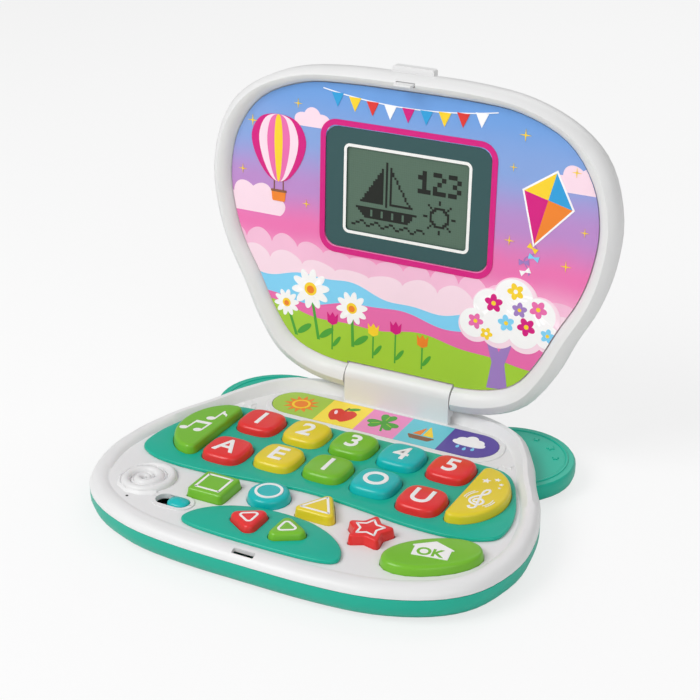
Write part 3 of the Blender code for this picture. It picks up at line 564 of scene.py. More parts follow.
def cad_copy(name: str, node: str) -> bpy.types.Object:
    """Copy a CAD node's mesh into a new object, welded and in edit mode, and return it."""
    obj = placed(name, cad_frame()["nodes"][node].data.copy())
    edit(obj)
    bpy.ops.mesh.remove_doubles(threshold=CAD_WELD)
    return obj


def moulded_copy(node: str, bevel: float = 0.35) -> bpy.types.Object:
    """Copy a CAD node, break its sharp edges and smooth it, with its flat faces left flat.

    Args:
        node: the CAD node's name.
        bevel: width of the broken edges.

    Returns:
        The new object, which replaces the node.
    """
    flat, sharp, smooth = math.radians(0.3), math.radians(40), math.radians(36)
    obj = cad_copy(f"{node}_moulded", node)
    bpy.ops.mesh.dissolve_limited(angle_limit=flat)
    modify(obj, "BEVEL", width=bevel * MM, segments=2, limit_method="ANGLE", angle_limit=sharp)
    bpy.ops.object.shade_smooth_by_angle(angle=smooth)
    modify(obj, "WEIGHTED_NORMAL", keep_sharp=True)
    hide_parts(node)
    return obj


FRAME: dict[str, Any] = {}


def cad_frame() -> dict[str, Any]:
    """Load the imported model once, and return it."""
    if not FRAME:
        FRAME.update(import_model())
    return FRAME


# Finishes


def linear(code: str, share: float = 1.0) -> tuple[float, float, float, float]:
    """Turn an sRGB hex colour into a linear one.

    Args:
        code: such as "#16A488".
        share: brightness of the result against the colour.

    Returns:
        Red, green, blue and an alpha of 1.
    """
    parts = [int(code[i : i + 2], 16) / 255 for i in (1, 3, 5)]
    parts = [p / 12.92 if p <= 0.04045 else ((p + 0.055) / 1.055) ** 2.4 for p in parts]
    return (parts[0] * share, parts[1] * share, parts[2] * share, 1.0)


def add_node(
    tree: Tree,
    kind: str,
    settings: dict[str, Any] | None = None,
    inputs: dict[str | int, Any] | None = None,
) -> bpy.types.Node:
    """Add a node with its settings and links.

    Args:
        tree: the material's nodes.
        kind: the node's type.
        settings: attributes to set.
        inputs: a value or a socket for each input.

    Returns:
        The new node.
    """
    node = tree.nodes.new(kind)
    for name, value in (settings or {}).items():
        setattr(node, name, value)
    for name, value in (inputs or {}).items():
        if isinstance(value, Socket):
            tree.links.new(value, node.inputs[name])
        else:
            node.inputs[name].default_value = value
    return node


@dataclass(frozen=True)
class Finish:
    """A material: what it is, its colour and how its surface was made."""

    name: str
    colour: str
    slot: str
    roughness: float = 0.35
    ior: float = 1.5
    metallic: float = 0.0
    grain: float = 0.35
    depth: float = 0.02
    mottle: float = 0.03
    coat: float = 0.0
    specular: float = 0.36

    def material(self) -> bpy.types.Material:
        """Return the material, made at its first use."""
        made = bpy.data.materials.get(self.name)
        if made:
            return made
        made = bpy.data.materials.new(self.name)
        made.use_nodes = True
        tree = made.node_tree
        shader = next(n for n in tree.nodes if n.type == "BSDF_PRINCIPLED")
        shader.inputs["IOR"].default_value = self.ior
        shader.inputs["Metallic"].default_value = self.metallic
        shader.inputs["Coat Weight"].default_value = self.coat
        shader.inputs["Specular IOR Level"].default_value = 0.5 if self.metallic else self.specular
        shader.inputs["Coat Roughness"].default_value = 0.12
        place = add_node(tree, "ShaderNodeTexCoord").outputs["Object"]
        tree.links.new(self.colouring(tree, place), shader.inputs["Base Color"])
        self.surface(tree, place, shader)
        return made

    def colouring(self, tree: Tree, place: Socket) -> Socket:
        """Colour the surface, with the slow drift of tone that a moulding or a print has.

        Args:
            tree: the material's nodes.
            place: Object coordinates.

        Returns:
            The colour's socket.
        """
        inputs = {"Vector": place, "Scale": 1 / (28 * MM), "Detail": 3.0}
        drift = add_node(tree, "ShaderNodeTexNoise", None, inputs)
        low, high = linear(self.colour, 1 - self.mottle), linear(self.colour, 1 + self.mottle)
        inputs = {0: drift.outputs["Fac"], 6: low, 7: high}
        return add_node(tree, "ShaderNodeMix", {"data_type": "RGBA"}, inputs).outputs[2]

    def surface(self, tree: Tree, place: Socket, shader: bpy.types.Node) -> None:
        """Give the shader an uneven roughness and a fine grain.

        Args:
            tree: the material's nodes.
            place: Object coordinates.
            shader: the Principled shader.
        """
        inputs = {"Vector": place, "Scale": 1 / (self.grain * MM), "Detail": 2.0}
        grain = add_node(tree, "ShaderNodeTexNoise", None, inputs)
        inputs = {"Height": grain.outputs["Fac"], "Strength": self.depth * 5, "Distance": 0.1 * MM}
        bump = add_node(tree, "ShaderNodeBump", None, inputs)
        tree.links.new(bump.outputs["Normal"], shader.inputs["Normal"])
        inputs = {"Vector": place, "Scale": 1 / (9 * MM), "Detail": 4.0}
        haze = add_node(tree, "ShaderNodeTexNoise", None, inputs)
        inputs = {"Value": haze.outputs["Fac"], 3: self.roughness - 0.05, 4: self.roughness + 0.05}
        spread = add_node(tree, "ShaderNodeMapRange", None, inputs)
        tree.links.new(spread.outputs["Result"], shader.inputs["Roughness"])


@dataclass(frozen=True)
class BandedSheet(Finish):
    """A printed sheet whose colour changes along one axis, in a gradient or in plain cells."""

    axis: str = "Z"
    stops: tuple[tuple[float, str], ...] = ()
    cells: bool = False

    def colouring(self, tree: Tree, place: Socket) -> Socket:
        """Colour the sheet by its distance along the axis.

        Args:
            tree: the material's nodes.
            place: Object coordinates.

        Returns:
            The colour's socket.
        """
        start, end = self.stops[0][0], self.stops[-1][0]
        parts = add_node(tree, "ShaderNodeSeparateXYZ", None, {"Vector": place})
        inputs = {"Vector": place, "Scale": 1 / (30 * MM), "Detail": 4.0}
        cloud = add_node(tree, "ShaderNodeTexNoise", None, inputs)
        sway = 0.0 if self.cells else 9.0 * MM
        inputs = {0: cloud.outputs["Fac"], 1: sway, 2: parts.outputs[self.axis]}
        bent = add_node(tree, "ShaderNodeMath", {"operation": "MULTIPLY_ADD"}, inputs)
        inputs = {"Value": bent.outputs["Value"], 1: start * MM, 2: end * MM}
        share = add_node(tree, "ShaderNodeMapRange", None, inputs)
        ramp = add_node(tree, "ShaderNodeValToRGB", None, {"Fac": share.outputs["Result"]})
        ramp.color_ramp.interpolation = "CONSTANT" if self.cells else "EASE"
        elements = ramp.color_ramp.elements
        while len(elements) < len(self.stops):
            elements.new(1.0)
        for element, (at, code) in zip(elements, self.stops):
            element.position = (at - start) / (end - start)
            element.color = linear(code)
        return ramp.outputs["Color"]


@dataclass(frozen=True)
class DotFilm(Finish):
    """The display's reflective film, with the faint grid of its unlit dots."""

    pitch: float = 1.15

    def colouring(self, tree: Tree, place: Socket) -> Socket:
        """Colour the film with thin lines between its dots.

        Args:
            tree: the material's nodes.
            place: Object coordinates.

        Returns:
            The colour's socket.
        """
        settings = {"offset": 0.0, "squash": 1.0}
        inputs = {"Vector": place, "Rotation": (math.pi / 2, 0.0, 0.0)}
        turn = add_node(tree, "ShaderNodeMapping", None, inputs)
        inputs = {
            "Vector": turn.outputs["Vector"],
            "Color1": linear(self.colour),
            "Color2": linear(self.colour, 1.04),
            "Mortar": linear(self.colour, 1.16),
            "Scale": 1.0,
            "Mortar Size": 0.06 * self.pitch * MM,
            "Brick Width": self.pitch * MM,
            "Row Height": self.pitch * MM,
        }
        return add_node(tree, "ShaderNodeTexBrick", settings, inputs).outputs["Color"]


class Plastic(Enum):
    """Moulded plastics, glossy from a polished tool."""

    # Moulded ABS: an opaque, evenly tinted skin with soft, slightly broken highlights
    WHITE = Finish("moulded_abs_white", "#E6E6E6", "white_shell", 0.36)
    TEAL = Finish("moulded_abs_teal", "#12B096", "teal_shell", 0.34)
    RED = Finish("moulded_abs_red", "#E6302F", "red_key", 0.3, coat=0.15)
    YELLOW = Finish("moulded_abs_yellow", "#E6D02A", "yellow_key", 0.3, coat=0.15)
    GREEN = Finish("moulded_abs_green", "#76BC2C", "green_key", 0.3, coat=0.15)
    BLUE = Finish("moulded_abs_blue", "#0CBABA", "blue_key", 0.3, coat=0.15)
    BLACK = Finish("moulded_polystyrene_black", "#1C1D1E", "black_plastic", 0.45)


def sheet_ink(name: str, colour: str, mottle: float = 0.03) -> Finish:
    """Mix an ink of the printed sheets.

    Args:
        name: the ink's name.
        colour: its sRGB hex value.
        mottle: how far its tone drifts.

    Returns:
        The finish.
    """
    return Finish(f"sheet_ink_{name}", colour, "printed_panel", 0.34, mottle=mottle)


class Ink(Enum):
    """Printed inks: thin, even films with a faint speckle."""

    # Pad-printed ink: a thin, flat white film that hides the plastic under it
    LEGEND = Finish("legend_ink_white", "#F3F2F0", "screen_print", 0.42)
    # Offset ink under a clear film: even, bright and slightly glossy
    WHITE = sheet_ink("white", "#FCFAFB")
    BLUSH = sheet_ink("blush", "#FBDCEA")
    CLOUD = sheet_ink("cloud_pink", "#F7BEDA", 0.1)
    ROSE = sheet_ink("rose", "#EC6CAE")
    MAGENTA = sheet_ink("magenta", "#D6107F")
    AQUA = sheet_ink("aqua", "#82D2F7")
    BLUE = sheet_ink("blue", "#2C9FDB")
    LILAC = sheet_ink("lilac", "#A27FC4")
    MEADOW = sheet_ink("meadow", "#A5D03A", 0.06)
    LEAF = sheet_ink("leaf", "#4DA53A")
    SUN = sheet_ink("sun", "#FBD42B")
    ORANGE = sheet_ink("orange", "#F28426")
    RED = sheet_ink("red", "#E0352F")
    BROWN = sheet_ink("brown", "#8B5A3C")
    # Dark liquid crystal: a flat, nearly black dot
    DOT = Finish("lcd_segment_black", "#12160F", "lcd_glass", 0.4)


class Sheet(Enum):
    """Sheets, metals and inner parts."""

    # Gloss-laminated paper: a smooth colour wash under a clear film
    SKY = BandedSheet(
        "laminated_print_sky",
        "#8AA8DF",
        "printed_panel",
        0.32,
        stops=(
            (60.0, "#FBD9E9"),
            (88.0, "#F8B3D5"),
            (110.0, "#EE74B3"),
            (132.0, "#BC8ACB"),
            (158.0, "#86A5DE"),
            (186.0, "#6C9FE0"),
        ),
    )
    CELLS = BandedSheet(
        "laminated_print_cells",
        "#AACD4B",
        "printed_strip",
        0.32,
        axis="X",
        cells=True,
        stops=(
            (-70.0, "#A9CC49"),
            (-34.3, "#FDE34C"),
            (-11.4, "#F090C7"),
            (11.4, "#6CCBDB"),
            (34.3, "#5D49A3"),
            (70.0, "#5D49A3"),
        ),
    )
    # Back-painted acrylic: a dark, even colour under a clear gloss
    BEZEL = Finish("painted_acrylic_slate", "#345557", "screen_print", 0.22, specular=0.25)
    # Reflective polariser: a dull grey-green film behind glass
    LCD = DotFilm("lcd_reflective_film", "#546B5C", "lcd_glass", 0.3, specular=0.25)
    # Zinc-plated steel: grey, with fine turning marks
    STEEL = Finish("zinc_plated_steel", "#B9BCBE", "steel", 0.3, metallic=1.0, grain=0.6, depth=0.05)
    # Cast rubber: dull and dark, with a soft pebbled skin
    RUBBER = Finish("cast_rubber_grey", "#3A3B3C", "foot_rubber", 0.75, grain=0.7, depth=0.08)
    # Moulded silicone: pale, soft and matt
    SILICONE = Finish("moulded_silicone", "#CFCFC9", "membrane", 0.6)
    # Glass-epoxy board: green mask with an uneven, half-gloss skin
    BOARD = Finish("glass_epoxy_board", "#1F6B3C", "board", 0.42, mottle=0.08)
    # Shrink-wrapped film: a smooth, glossy colour
    JACKET = Finish("cell_jacket", "#3E6FA8", "cell_jacket", 0.3)
    # Pressed paper: black and dull, with a coarse fibre grain
    CONE = Finish("speaker_cone_paper", "#202122", "speaker_black", 0.8, grain=0.5, depth=0.1)


def hand_over(obj: bpy.types.Object, finish: Finish, body: str) -> None:
    """Give a finished piece its material and body, and report it.

    Args:
        obj: the piece.
        finish: its finish.
        body: the CAD body that it moves with.
    """
    deselect()
    obj.data.materials.clear()
    obj.data.materials.append(finish.material())
    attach(obj, body)
    LOG.info("%s rides on %s in %s", obj.name, body, finish.name)


def dress_node(node: str, finish: Finish) -> None:
    """Give a kept CAD node its finish."""
    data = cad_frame()["nodes"][node].data
    data.materials.clear()
    data.materials.append(finish.material())
    LOG.info("%s keeps its solid in %s", node, finish.name)


# The base


@dataclass
class BaseCase:
    """The white deck, the teal tub and plates, and the relief on them."""

    deck: float = 17.0
    plate_low: float = 17.3
    plate_top: float = 18.9
    speaker: Point = (-75.0, -51.2)
    spiral_turns: float = 2.35
    spiral_inner: float = 0.6
    spiral_outer: float = 14.4
    spiral_ridge: float = 2.35
    spiral_height: float = 2.5
    slot: Point = (-52.0, -63.2)
    slot_size: Point = (17.6, 9.0)
    ear: Point = (66.0, 58.05)
    ear_top: float = 12.3
    hole_radius: float = 0.7
    slot_rim: float = 1.9
    star_sink: float = 0.2
    star_corner: float = 0.35
    ear_star_radius: float = 22.0
    ear_ridge_radius: float = 27.6
    deck_stars: tuple[tuple[float, float, float, float], ...] = (
        (-72.0, 38.6, 4.6, 12.0),
        (-67.6, 35.2, 2.0, 40.0),
        (72.4, 38.8, 3.4, 20.0),
        (67.8, 35.2, 1.8, 0.0),
    )
    ear_stars: tuple[Point, ...] = ((20.0, 2.2), (48.0, 2.8), (76.0, 2.0))
    # Right halves of the plates' outlines, from front to back
    plate_half: tuple[Point, ...] = (
        (0.0, -28.1), (17.0, -29.3), (32.0, -31.0), (48.0, -33.3), (65.0, -34.1), (79.0, -33.0),
        (88.5, -29.6), (94.3, -24.0), (95.0, -12.5), (92.4, 0.0), (87.6, 12.0), (83.0, 21.5),
        (76.5, 29.2), (66.0, 32.2), (34.0, 32.4), (0.0, 32.4),
    )
    arrow_plate_half: tuple[Point, ...] = (
        (0.0, -79.8), (20.0, -79.5), (33.5, -78.2), (39.6, -75.2), (39.2, -69.5),
        (35.0, -63.2), (27.0, -57.0), (17.0, -52.8), (8.5, -51.3), (0.0, -50.9),
    )

    def build(self, keys: "Keyboard") -> None:
        """Make the case around the keys.

        Args:
            keys: gives the holes in the plates.
        """
        hand_over(moulded_copy("base_top_shell"), Plastic.WHITE.value, "base")
        hand_over(moulded_copy("base_bottom_shell"), Plastic.TEAL.value, "base")
        hand_over(moulded_copy("battery_cover", 0.3), Plastic.TEAL.value, "base")
        for i in range(1, 5):
            hand_over(moulded_copy(f"foot_{i}", 0.25), Sheet.RUBBER.value, "base")
        self.make_plate("keyboard_plate", self.plate_half, keys, False)
        self.make_plate("arrow_plate", self.arrow_plate_half, keys, True)
        self.make_spiral()
        self.make_slot_rim()
        self.make_stars()
        self.make_ear_ridges()

    def make_plate(
        self, node: str, half: tuple[Point, ...], keys: "Keyboard", arrows: bool
    ) -> None:
        """Make a teal plate with a hole for each of its keys.

        Args:
            node: the CAD node that it replaces.
            half: the right half of its outline.
            keys: the keys.
            arrows: whether it carries the arrow keys.
        """
        outline = smoothed([*half, *((-x, y) for x, y in half[-2:0:-1])])
        obj = flat_face(f"{node}_moulded", outline, self.plate_low)
        edge = 0.8
        raise_face(obj, [(0.0, self.plate_top - self.plate_low - edge)] + round_over(edge, 3))
        holes = []
        for key in keys.caps:
            if key.on_plate and key.node.startswith("arrow") == arrows:
                cut = grown(anticlockwise(key.outline), keys.clearance)
                holes.append(plate("key_hole", cut, self.plate_low - 1, self.plate_top + 1))
        combine(obj, joined("key_holes", holes), "DIFFERENCE")
        close(obj)
        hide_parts(node)
        hand_over(obj, Plastic.TEAL.value, "base")

    def make_spiral(self) -> None:
        """Make the spiral relief that the speaker sounds through, and a black disc beside it as painted
        shade for the pin hole.
        """
        count = 130
        points = []
        for i in range(count + 1):
            share = i / count
            radius = self.spiral_inner + (self.spiral_outer - self.spiral_inner) * share
            angle = 2 * math.pi * self.spiral_turns * share + math.radians(20)
            taper = min(1.0, 0.55 + share * 1.4, (1.0 - share) * 9 + 0.12)
            points.append((radius * math.cos(angle), radius * math.sin(angle), taper))
        obj = stroke("speaker_spiral", points, self.spiral_ridge)
        flat = self.spiral_height / self.spiral_ridge
        settle(obj, shift(*self.speaker, self.deck, 0.0, flat))
        hand_over(obj, Plastic.WHITE.value, "base")
        # The pin hole is drawn as a black disc on the deck: painted shade where the hole's dark inside
        # would be
        hole = superellipse(self.hole_radius, self.hole_radius, 2.0, 20)
        obj = flat_face("microphone_hole", hole, self.deck - 0.2)
        raise_face(obj, [(0.0, 0.22), (0.2, 0.03)])
        settle(obj, shift(self.speaker[0] + 1.0, self.speaker[1] - 17.2, 0.0))
        hand_over(obj, Plastic.BLACK.value, "base")

    def make_slot_rim(self) -> None:
        """Make the raised rim round the slide switch's slot."""
        width, depth = self.slot_size
        rim = self.slot_rim
        outline = rounded_box(width + 2 * rim, depth + 2 * rim, depth, self.slot)
        obj = line_ring("slot_rim", outline, rim, self.deck - 0.3, self.deck + 0.55)
        modify(obj, "BEVEL", width=0.45 * MM, segments=3, limit_method="ANGLE")
        close(obj)
        hand_over(obj, Plastic.WHITE.value, "base")

    def emboss_star(
        self, name: str, size: float, level: float, inset: float, place: Matrix
    ) -> bpy.types.Object:
        """Raise a small star on a level surface.

        Args:
            name: the object's name.
            size: radius of its tips.
            level: the surface.
            inset: how far its sides slope in.
            place: where it goes.

        Returns:
            The new object.
        """
        outline = star(size, size * 0.5, 5, self.star_corner)
        obj = flat_face(name, outline, level - self.star_sink)
        raise_face(obj, [(0.0, 2 * self.star_sink), (inset, 0.3)])
        settle(obj, place)
        return obj

    def make_stars(self) -> None:
        """Emboss small stars on the deck at both ends of the strip and on the ears."""
        pieces = []
        for x, y, size, turn in self.deck_stars:
            place = shift(x, y, 0.0, turn)
            pieces.append(self.emboss_star("deck_star", size, self.deck, 0.25, place))
        hand_over(joined("deck_stars", pieces), Plastic.WHITE.value, "base")
        pieces = []
        radius = self.ear_star_radius
        for side in (-1, 1):
            for angle, size in self.ear_stars:
                a = math.radians(angle if side > 0 else 180 - angle)
                x = side * self.ear[0] + radius * math.cos(a)
                place = shift(x, self.ear[1] + radius * math.sin(a), 0.0, angle)
                pieces.append(self.emboss_star("ear_star", size, self.ear_top, 0.22, place))
        hand_over(joined("ear_stars", pieces), Plastic.TEAL.value, "base")

    def make_ear_ridges(self) -> None:
        """Lay a low ridge round the top of each ear."""
        pieces = []
        for side in (-1, 1):
            points = []
            for i in range(41):
                angle = math.radians(-62 + 186 * i / 40)
                x = side * (self.ear[0] + self.ear_ridge_radius * math.cos(angle))
                points.append((x, self.ear[1] + self.ear_ridge_radius * math.sin(angle), 1.0))
            obj = stroke("ear_ridge", points, 0.9)
            settle(obj, shift(0.0, 0.0, self.ear_top, 0.0, 0.6))
            pieces.append(obj)
        hand_over(joined("ear_ridges", pieces), Plastic.TEAL.value, "base")


# The keys


@dataclass
class KeyCap:
    """One key: its CAD node, outline, colour and the form of its crown."""

    node: str
    outline: Outline
    plastic: Plastic
    on_plate: bool
    edge: float = 2.6
    crown: float = 0.45
    draft: float = 0.5
    flange: float = 0.8
    flange_height: float = 1.2
    edge_slope: float = 0.8

    def build(self) -> float:
        """Mould the key over its CAD node.

        Returns:
            The level of its crown.
        """
        bottom, top = levels(self.node)
        edge_rise = self.edge * self.edge_slope
        wall = top - bottom - self.flange_height - edge_rise - self.crown
        foot = grown(anticlockwise(self.outline), self.flange)
        obj = flat_face(f"{self.node}_cap", foot, bottom)
        steps = [(0.0, self.flange_height), (self.flange, 0.0)]
        steps += [(0.0, wall * 0.55), (self.draft, wall * 0.45)]
        raise_face(obj, steps + round_over(self.edge, 5, edge_rise))
        if self.crown > 0:
            dome_top(obj, self.crown)
        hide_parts(self.node)
        hand_over(obj, self.plastic.value, self.node)
        return top


@dataclass
class Keyboard:
    """All keys and the slide knob, with their printed signs."""

    pitch: float = 26.0
    size: float = 22.4
    clearance: float = 0.35
    number_row: float = 17.9
    letter_row: float = -8.4
    letter_sag: float = 6.2
    music_inner: float = 66.0
    music_width: float = 21.5
    music_half: float = 26.0
    music_y: float = 0.6
    square_at: Point = (-40.0, -46.4)
    square_size: float = 19.5
    circle_at: Point = (-13.8, -40.6)
    circle_radius: float = 10.25
    triangle_at: Point = (13.4, -42.0)
    triangle_radius: float = 14.2
    star_at: Point = (42.2, -48.4)
    star_turn: float = 8.0
    ok_at: Point = (75.0, -53.0)
    ok_turn: float = 37.0
    arrow_y: float = -65.2
    knob_at: Point = (-48.85, -63.2)
    ink_rise: float = 0.12
    ink_sink: float = 0.6
    legend_height: float = 11.6
    legend_weight: float = 0.014
    legend_depth: float = 0.7
    clef_scale: float = 1.25
    clef_radius: float = 0.62
    echo_radius: float = 0.28
    caps: list[KeyCap] = field(default_factory=list)

    def row_place(self, column: int, letters: bool) -> Point:
        """Give a key's place.

        Args:
            column: 0 to 4, from the left.
            letters: whether it is in the front row.

        Returns:
            Its middle.
        """
        x = (column - 2) * self.pitch
        if not letters:
            return (x, self.number_row)
        return (x, self.letter_row - self.letter_sag * (x / (2 * self.pitch)) ** 2)

    def triangle(self, radius: float, corner: float) -> Outline:
        """Draw a triangle with round corners, one tip to the back, and return its outline."""
        angles = [math.radians(90 + 120 * i) for i in range(3)]
        return filleted([(radius * math.cos(a), radius * math.sin(a), corner) for a in angles])

    def arrow(self, side: int, share: float = 1.0, corner: float = 3.6) -> Outline:
        """Draw an arrow key's outline, or the line printed on it.

        Args:
            side: -1 for the left one, 1 for the right one.
            share: its size against the key.
            corner: radius of its corners.

        Returns:
            The outline.
        """
        middle = 9.8
        tips = ((22.6, 0.0), (3.4, 11.4), (3.4, -11.4))
        corners = [(middle + (x - middle) * share, y * share, corner) for x, y in tips]
        return [(side * x, self.arrow_y + y) for x, y in filleted(corners)]

    def music(self, side: int) -> Outline:
        """Draw a music key's outline: straight inside, half an ellipse outside.

        Args:
            side: -1 for the left one, 1 for the right one.

        Returns:
            The outline.
        """
        corners = [(self.music_inner, self.music_y - self.music_half, 4.0)]
        for i in range(23):
            angle = math.radians(-66 + 6 * i)
            x = self.music_inner + self.music_width * math.cos(angle)
            corners.append((x, self.music_y + self.music_half * math.sin(angle), 0.0))
        corners.append((self.music_inner, self.music_y + self.music_half, 4.0))
        return [(side * x, y) for x, y in filleted(corners)]

    def plan(self) -> None:
        """List every key."""
        colours = [Plastic.RED, Plastic.YELLOW, Plastic.GREEN, Plastic.BLUE, Plastic.RED]
        pad = superellipse(self.size / 2, self.size / 2, 3.2)
        for i, (number, letter) in enumerate(zip("12345", "aeiou")):
            for name, letters in ((number, False), (letter, True)):
                outline = turned(pad, self.row_place(i, letters))
                self.caps.append(KeyCap(f"key_{name}", outline, colours[i], True))
        flat = {"edge": 2.0, "crown": 0.0}
        self.caps.append(KeyCap("music_key_left", self.music(-1), Plastic.GREEN, True, **flat))
        self.caps.append(KeyCap("music_key_right", self.music(1), Plastic.YELLOW, True, **flat))
        self.caps.append(KeyCap("arrow_key_left", self.arrow(-1), Plastic.RED, True, **flat))
        self.caps.append(KeyCap("arrow_key_right", self.arrow(1), Plastic.GREEN, True, **flat))
        square = rounded_box(self.square_size, self.square_size, 2.4, self.square_at)
        self.caps.append(KeyCap("square_key", square, Plastic.GREEN, False, 1.5, 0.0))
        disc = turned(superellipse(self.circle_radius, self.circle_radius), self.circle_at)
        self.caps.append(KeyCap("circle_key", disc, Plastic.BLUE, False, 2.2, 0.3))
        pointed = turned(self.triangle(self.triangle_radius, 3.0), self.triangle_at)
        self.caps.append(KeyCap("triangle_key", pointed, Plastic.YELLOW, False, 1.6, 0.0))
        five = turned(star(13.0, 7.4, 5, 2.0), self.star_at, self.star_turn)
        self.caps.append(KeyCap("star_key", five, Plastic.RED, False, 1.0, 0.0))
        oval = turned(superellipse(23.0, 12.6, 2.1), self.ok_at, self.ok_turn)
        self.caps.append(KeyCap("ok_key", oval, Plastic.GREEN, False, 2.4, 0.3))

    def build(self) -> None:
        """Mould the keys and print their signs."""
        crowns = {cap.node: cap.build() for cap in self.caps}
        self.print_rows(crowns)
        self.print_shapes(crowns)
        self.print_notes(crowns)
        self.print_clef(crowns)
        self.print_ok(crowns)
        self.make_knob()

    def stamp(self, obj: bpy.types.Object, node: str) -> None:
        """Hand over a sign that is printed on a key."""
        hand_over(obj, Ink.LEGEND.value, node)

    def print_rows(self, crowns: dict[str, float]) -> None:
        """Print the numbers and letters.

        Args:
            crowns: each key's level.
        """
        for i, (number, letter) in enumerate(zip("12345", "AEIOU")):
            for text, row in ((number, False), (letter, True)):
                node = f"key_{text.lower()}"
                sizes = (self.legend_height, self.legend_weight, self.legend_depth)
                obj = lettering(f"{node}_sign", text, *sizes)
                settle(obj, shift(*self.row_place(i, row), crowns[node] + self.ink_rise))
                self.stamp(obj, node)

    def print_shapes(self, crowns: dict[str, float]) -> None:
        """Print a line inside each shape key and arrow key.

        Args:
            crowns: each key's level.
        """
        side = 13.6
        lines = {
            "square_key": (rounded_box(side, side, 0.4, self.square_at), 1.15),
            "circle_key": (turned(superellipse(6.7, 6.7), self.circle_at), 1.3),
            "triangle_key": (turned(self.triangle(9.4, 0.6), self.triangle_at), 1.15),
            "star_key": (turned(star(7.9, 4.5, 5, 0.6), self.star_at, self.star_turn), 1.0),
            "arrow_key_left": (self.arrow(-1, 0.52, 2.0), 1.1),
            "arrow_key_right": (self.arrow(1, 0.52, 2.0), 1.1),
        }
        for node, (outline, width) in lines.items():
            top = crowns[node]
            low, high = top - self.ink_sink, top + self.ink_rise
            self.stamp(line_ring(f"{node}_sign", outline, width, low, high), node)

    def print_notes(self, crowns: dict[str, float]) -> None:
        """Print a quaver and a pair of quavers on the left music key.

        Args:
            crowns: each key's level.
        """
        node = "music_key_left"
        level = crowns[node] + self.ink_rise
        flag = [(0.6, 4.2), (2.0, 2.6), (3.6, 1.8), (4.2, -0.4), (3.0, 0.8), (0.6, 1.8)]
        quaver = [turned(superellipse(2.3, 1.7, 2.0, 32), (-1.4, -5.0), 25.0)]
        quaver.append(rounded_box(1.0, 10.0, 0.3, (0.4, -0.2)))
        quaver.append(turned(smoothed(flag, 3), (0.0, 0.4)))
        head = superellipse(2.2, 1.6, 2.0, 32)
        pair = [turned(head, at, 22.0) for at in ((-5.0, -4.6), (2.6, -3.4))]
        pair += [rounded_box(0.95, 8.6, 0.3, at) for at in ((-3.3, -0.2), (4.3, 1.0))]
        pair.append([(-3.77, 2.6), (4.77, 3.95), (4.77, 6.1), (-3.77, 4.75)])
        places = [(shape, (-72.6, 10.6)) for shape in quaver]
        places += [(shape, (-76.0, -4.2)) for shape in pair]
        pieces = []
        for i, (shape, at) in enumerate(places):
            outline = turned(shape, at, -4.0)
            pieces.append(plate("note", outline, level - 0.4, level + 0.01 * i))
        self.stamp(joined(f"{node}_sign", pieces), node)

    def print_clef(self, crowns: dict[str, float]) -> None:
        """Print a clef with echoes and small stars on the right music key.

        Args:
            crowns: each key's level.
        """
        node = "music_key_right"
        level = crowns[node] + self.ink_rise
        clef = [(0.6, -0.7), (-0.9, -0.9), (-1.5, 0.2), (-0.7, 1.5), (0.9, 1.6), (2.2, 0.3)]
        clef += [(1.9, -1.7), (0.2, -2.6), (-2.0, -1.9), (-3.0, 0.0), (-2.2, 2.4), (-0.3, 4.4)]
        clef += [(1.2, 6.2), (1.5, 8.1), (0.8, 9.3), (-0.3, 8.2), (-0.5, 6.0), (0.1, 1.5)]
        clef += [(0.9, -3.5), (0.6, -5.0), (-0.7, -5.6), (-1.6, -4.8), (-0.9, -4.3)]
        scale = self.clef_scale
        bar = [(scale * x, scale * y, 1.0) for x, y in self.open_curve(clef)]
        pieces = [stroke("clef", bar, self.clef_radius)]
        settle(pieces[0], shift(76.4, -7.4, level - 0.1, 0.0, 0.35))
        echoes = ((140, 205, 7.4), (150, 200, 8.8), (-35, 25, 7.4), (-28, 15, 8.8))
        for start, end, radius in echoes:
            angles = [math.radians(start + (end - start) * i / 10) for i in range(11)]
            arc = [(radius * math.cos(a) * 0.8, radius * math.sin(a), 1.0) for a in angles]
            pieces.append(stroke("echo", arc, self.echo_radius))
            settle(pieces[-1], shift(76.6, -5.4, level - 0.05, -15.0, 0.5))
        sparks = ((72.8, 11.4, 2.3), (77.2, 14.4, 1.7), (80.4, 11.0, 1.3), (80.8, 7.8, 0.9))
        for x, y, size in sparks:
            outline = turned(star(size, size * 0.45), (x, y), 10.0)
            pieces.append(plate("spark", outline, level - 0.4, level))
        self.stamp(joined(f"{node}_sign", pieces), node)

    def open_curve(self, points: Outline, steps: int = 6) -> Outline:
        """Run an open curve through points.

        Args:
            points: the points that it passes.
            steps: segments between two of them.

        Returns:
            The finer points.
        """
        longer = [points[0]] + points + [points[-1]]
        closed = smoothed(longer, steps)
        return closed[steps : steps * len(points)]

    def print_ok(self, crowns: dict[str, float]) -> None:
        """Print the house-shaped sign of the OK key, with its letters left in the key's green.

        Args:
            crowns: each key's level.
        """
        node = "ok_key"
        level = crowns[node] + self.ink_rise
        tilt = 10.0
        house = [(-8.2, -5.2, 0.5), (8.2, -5.2, 0.5), (8.2, 2.2, 0.3), (10.4, 2.2, 0.4)]
        house += [(0.0, 8.0, 0.5), (-10.4, 2.2, 0.4), (-8.2, 2.2, 0.3)]
        sign = plate(f"{node}_sign", filleted(house, 4), level - self.ink_sink, level)
        settle(sign, shift(*self.ok_at, 0.0, tilt))
        self.stamp(sign, node)
        word = lettering(f"{node}_word", "OK", 6.2, 0.03, 0.3)
        settle(word, shift(self.ok_at[0], self.ok_at[1] - 1.4, level + 0.06, tilt))
        hand_over(word, Plastic.GREEN.value, node)

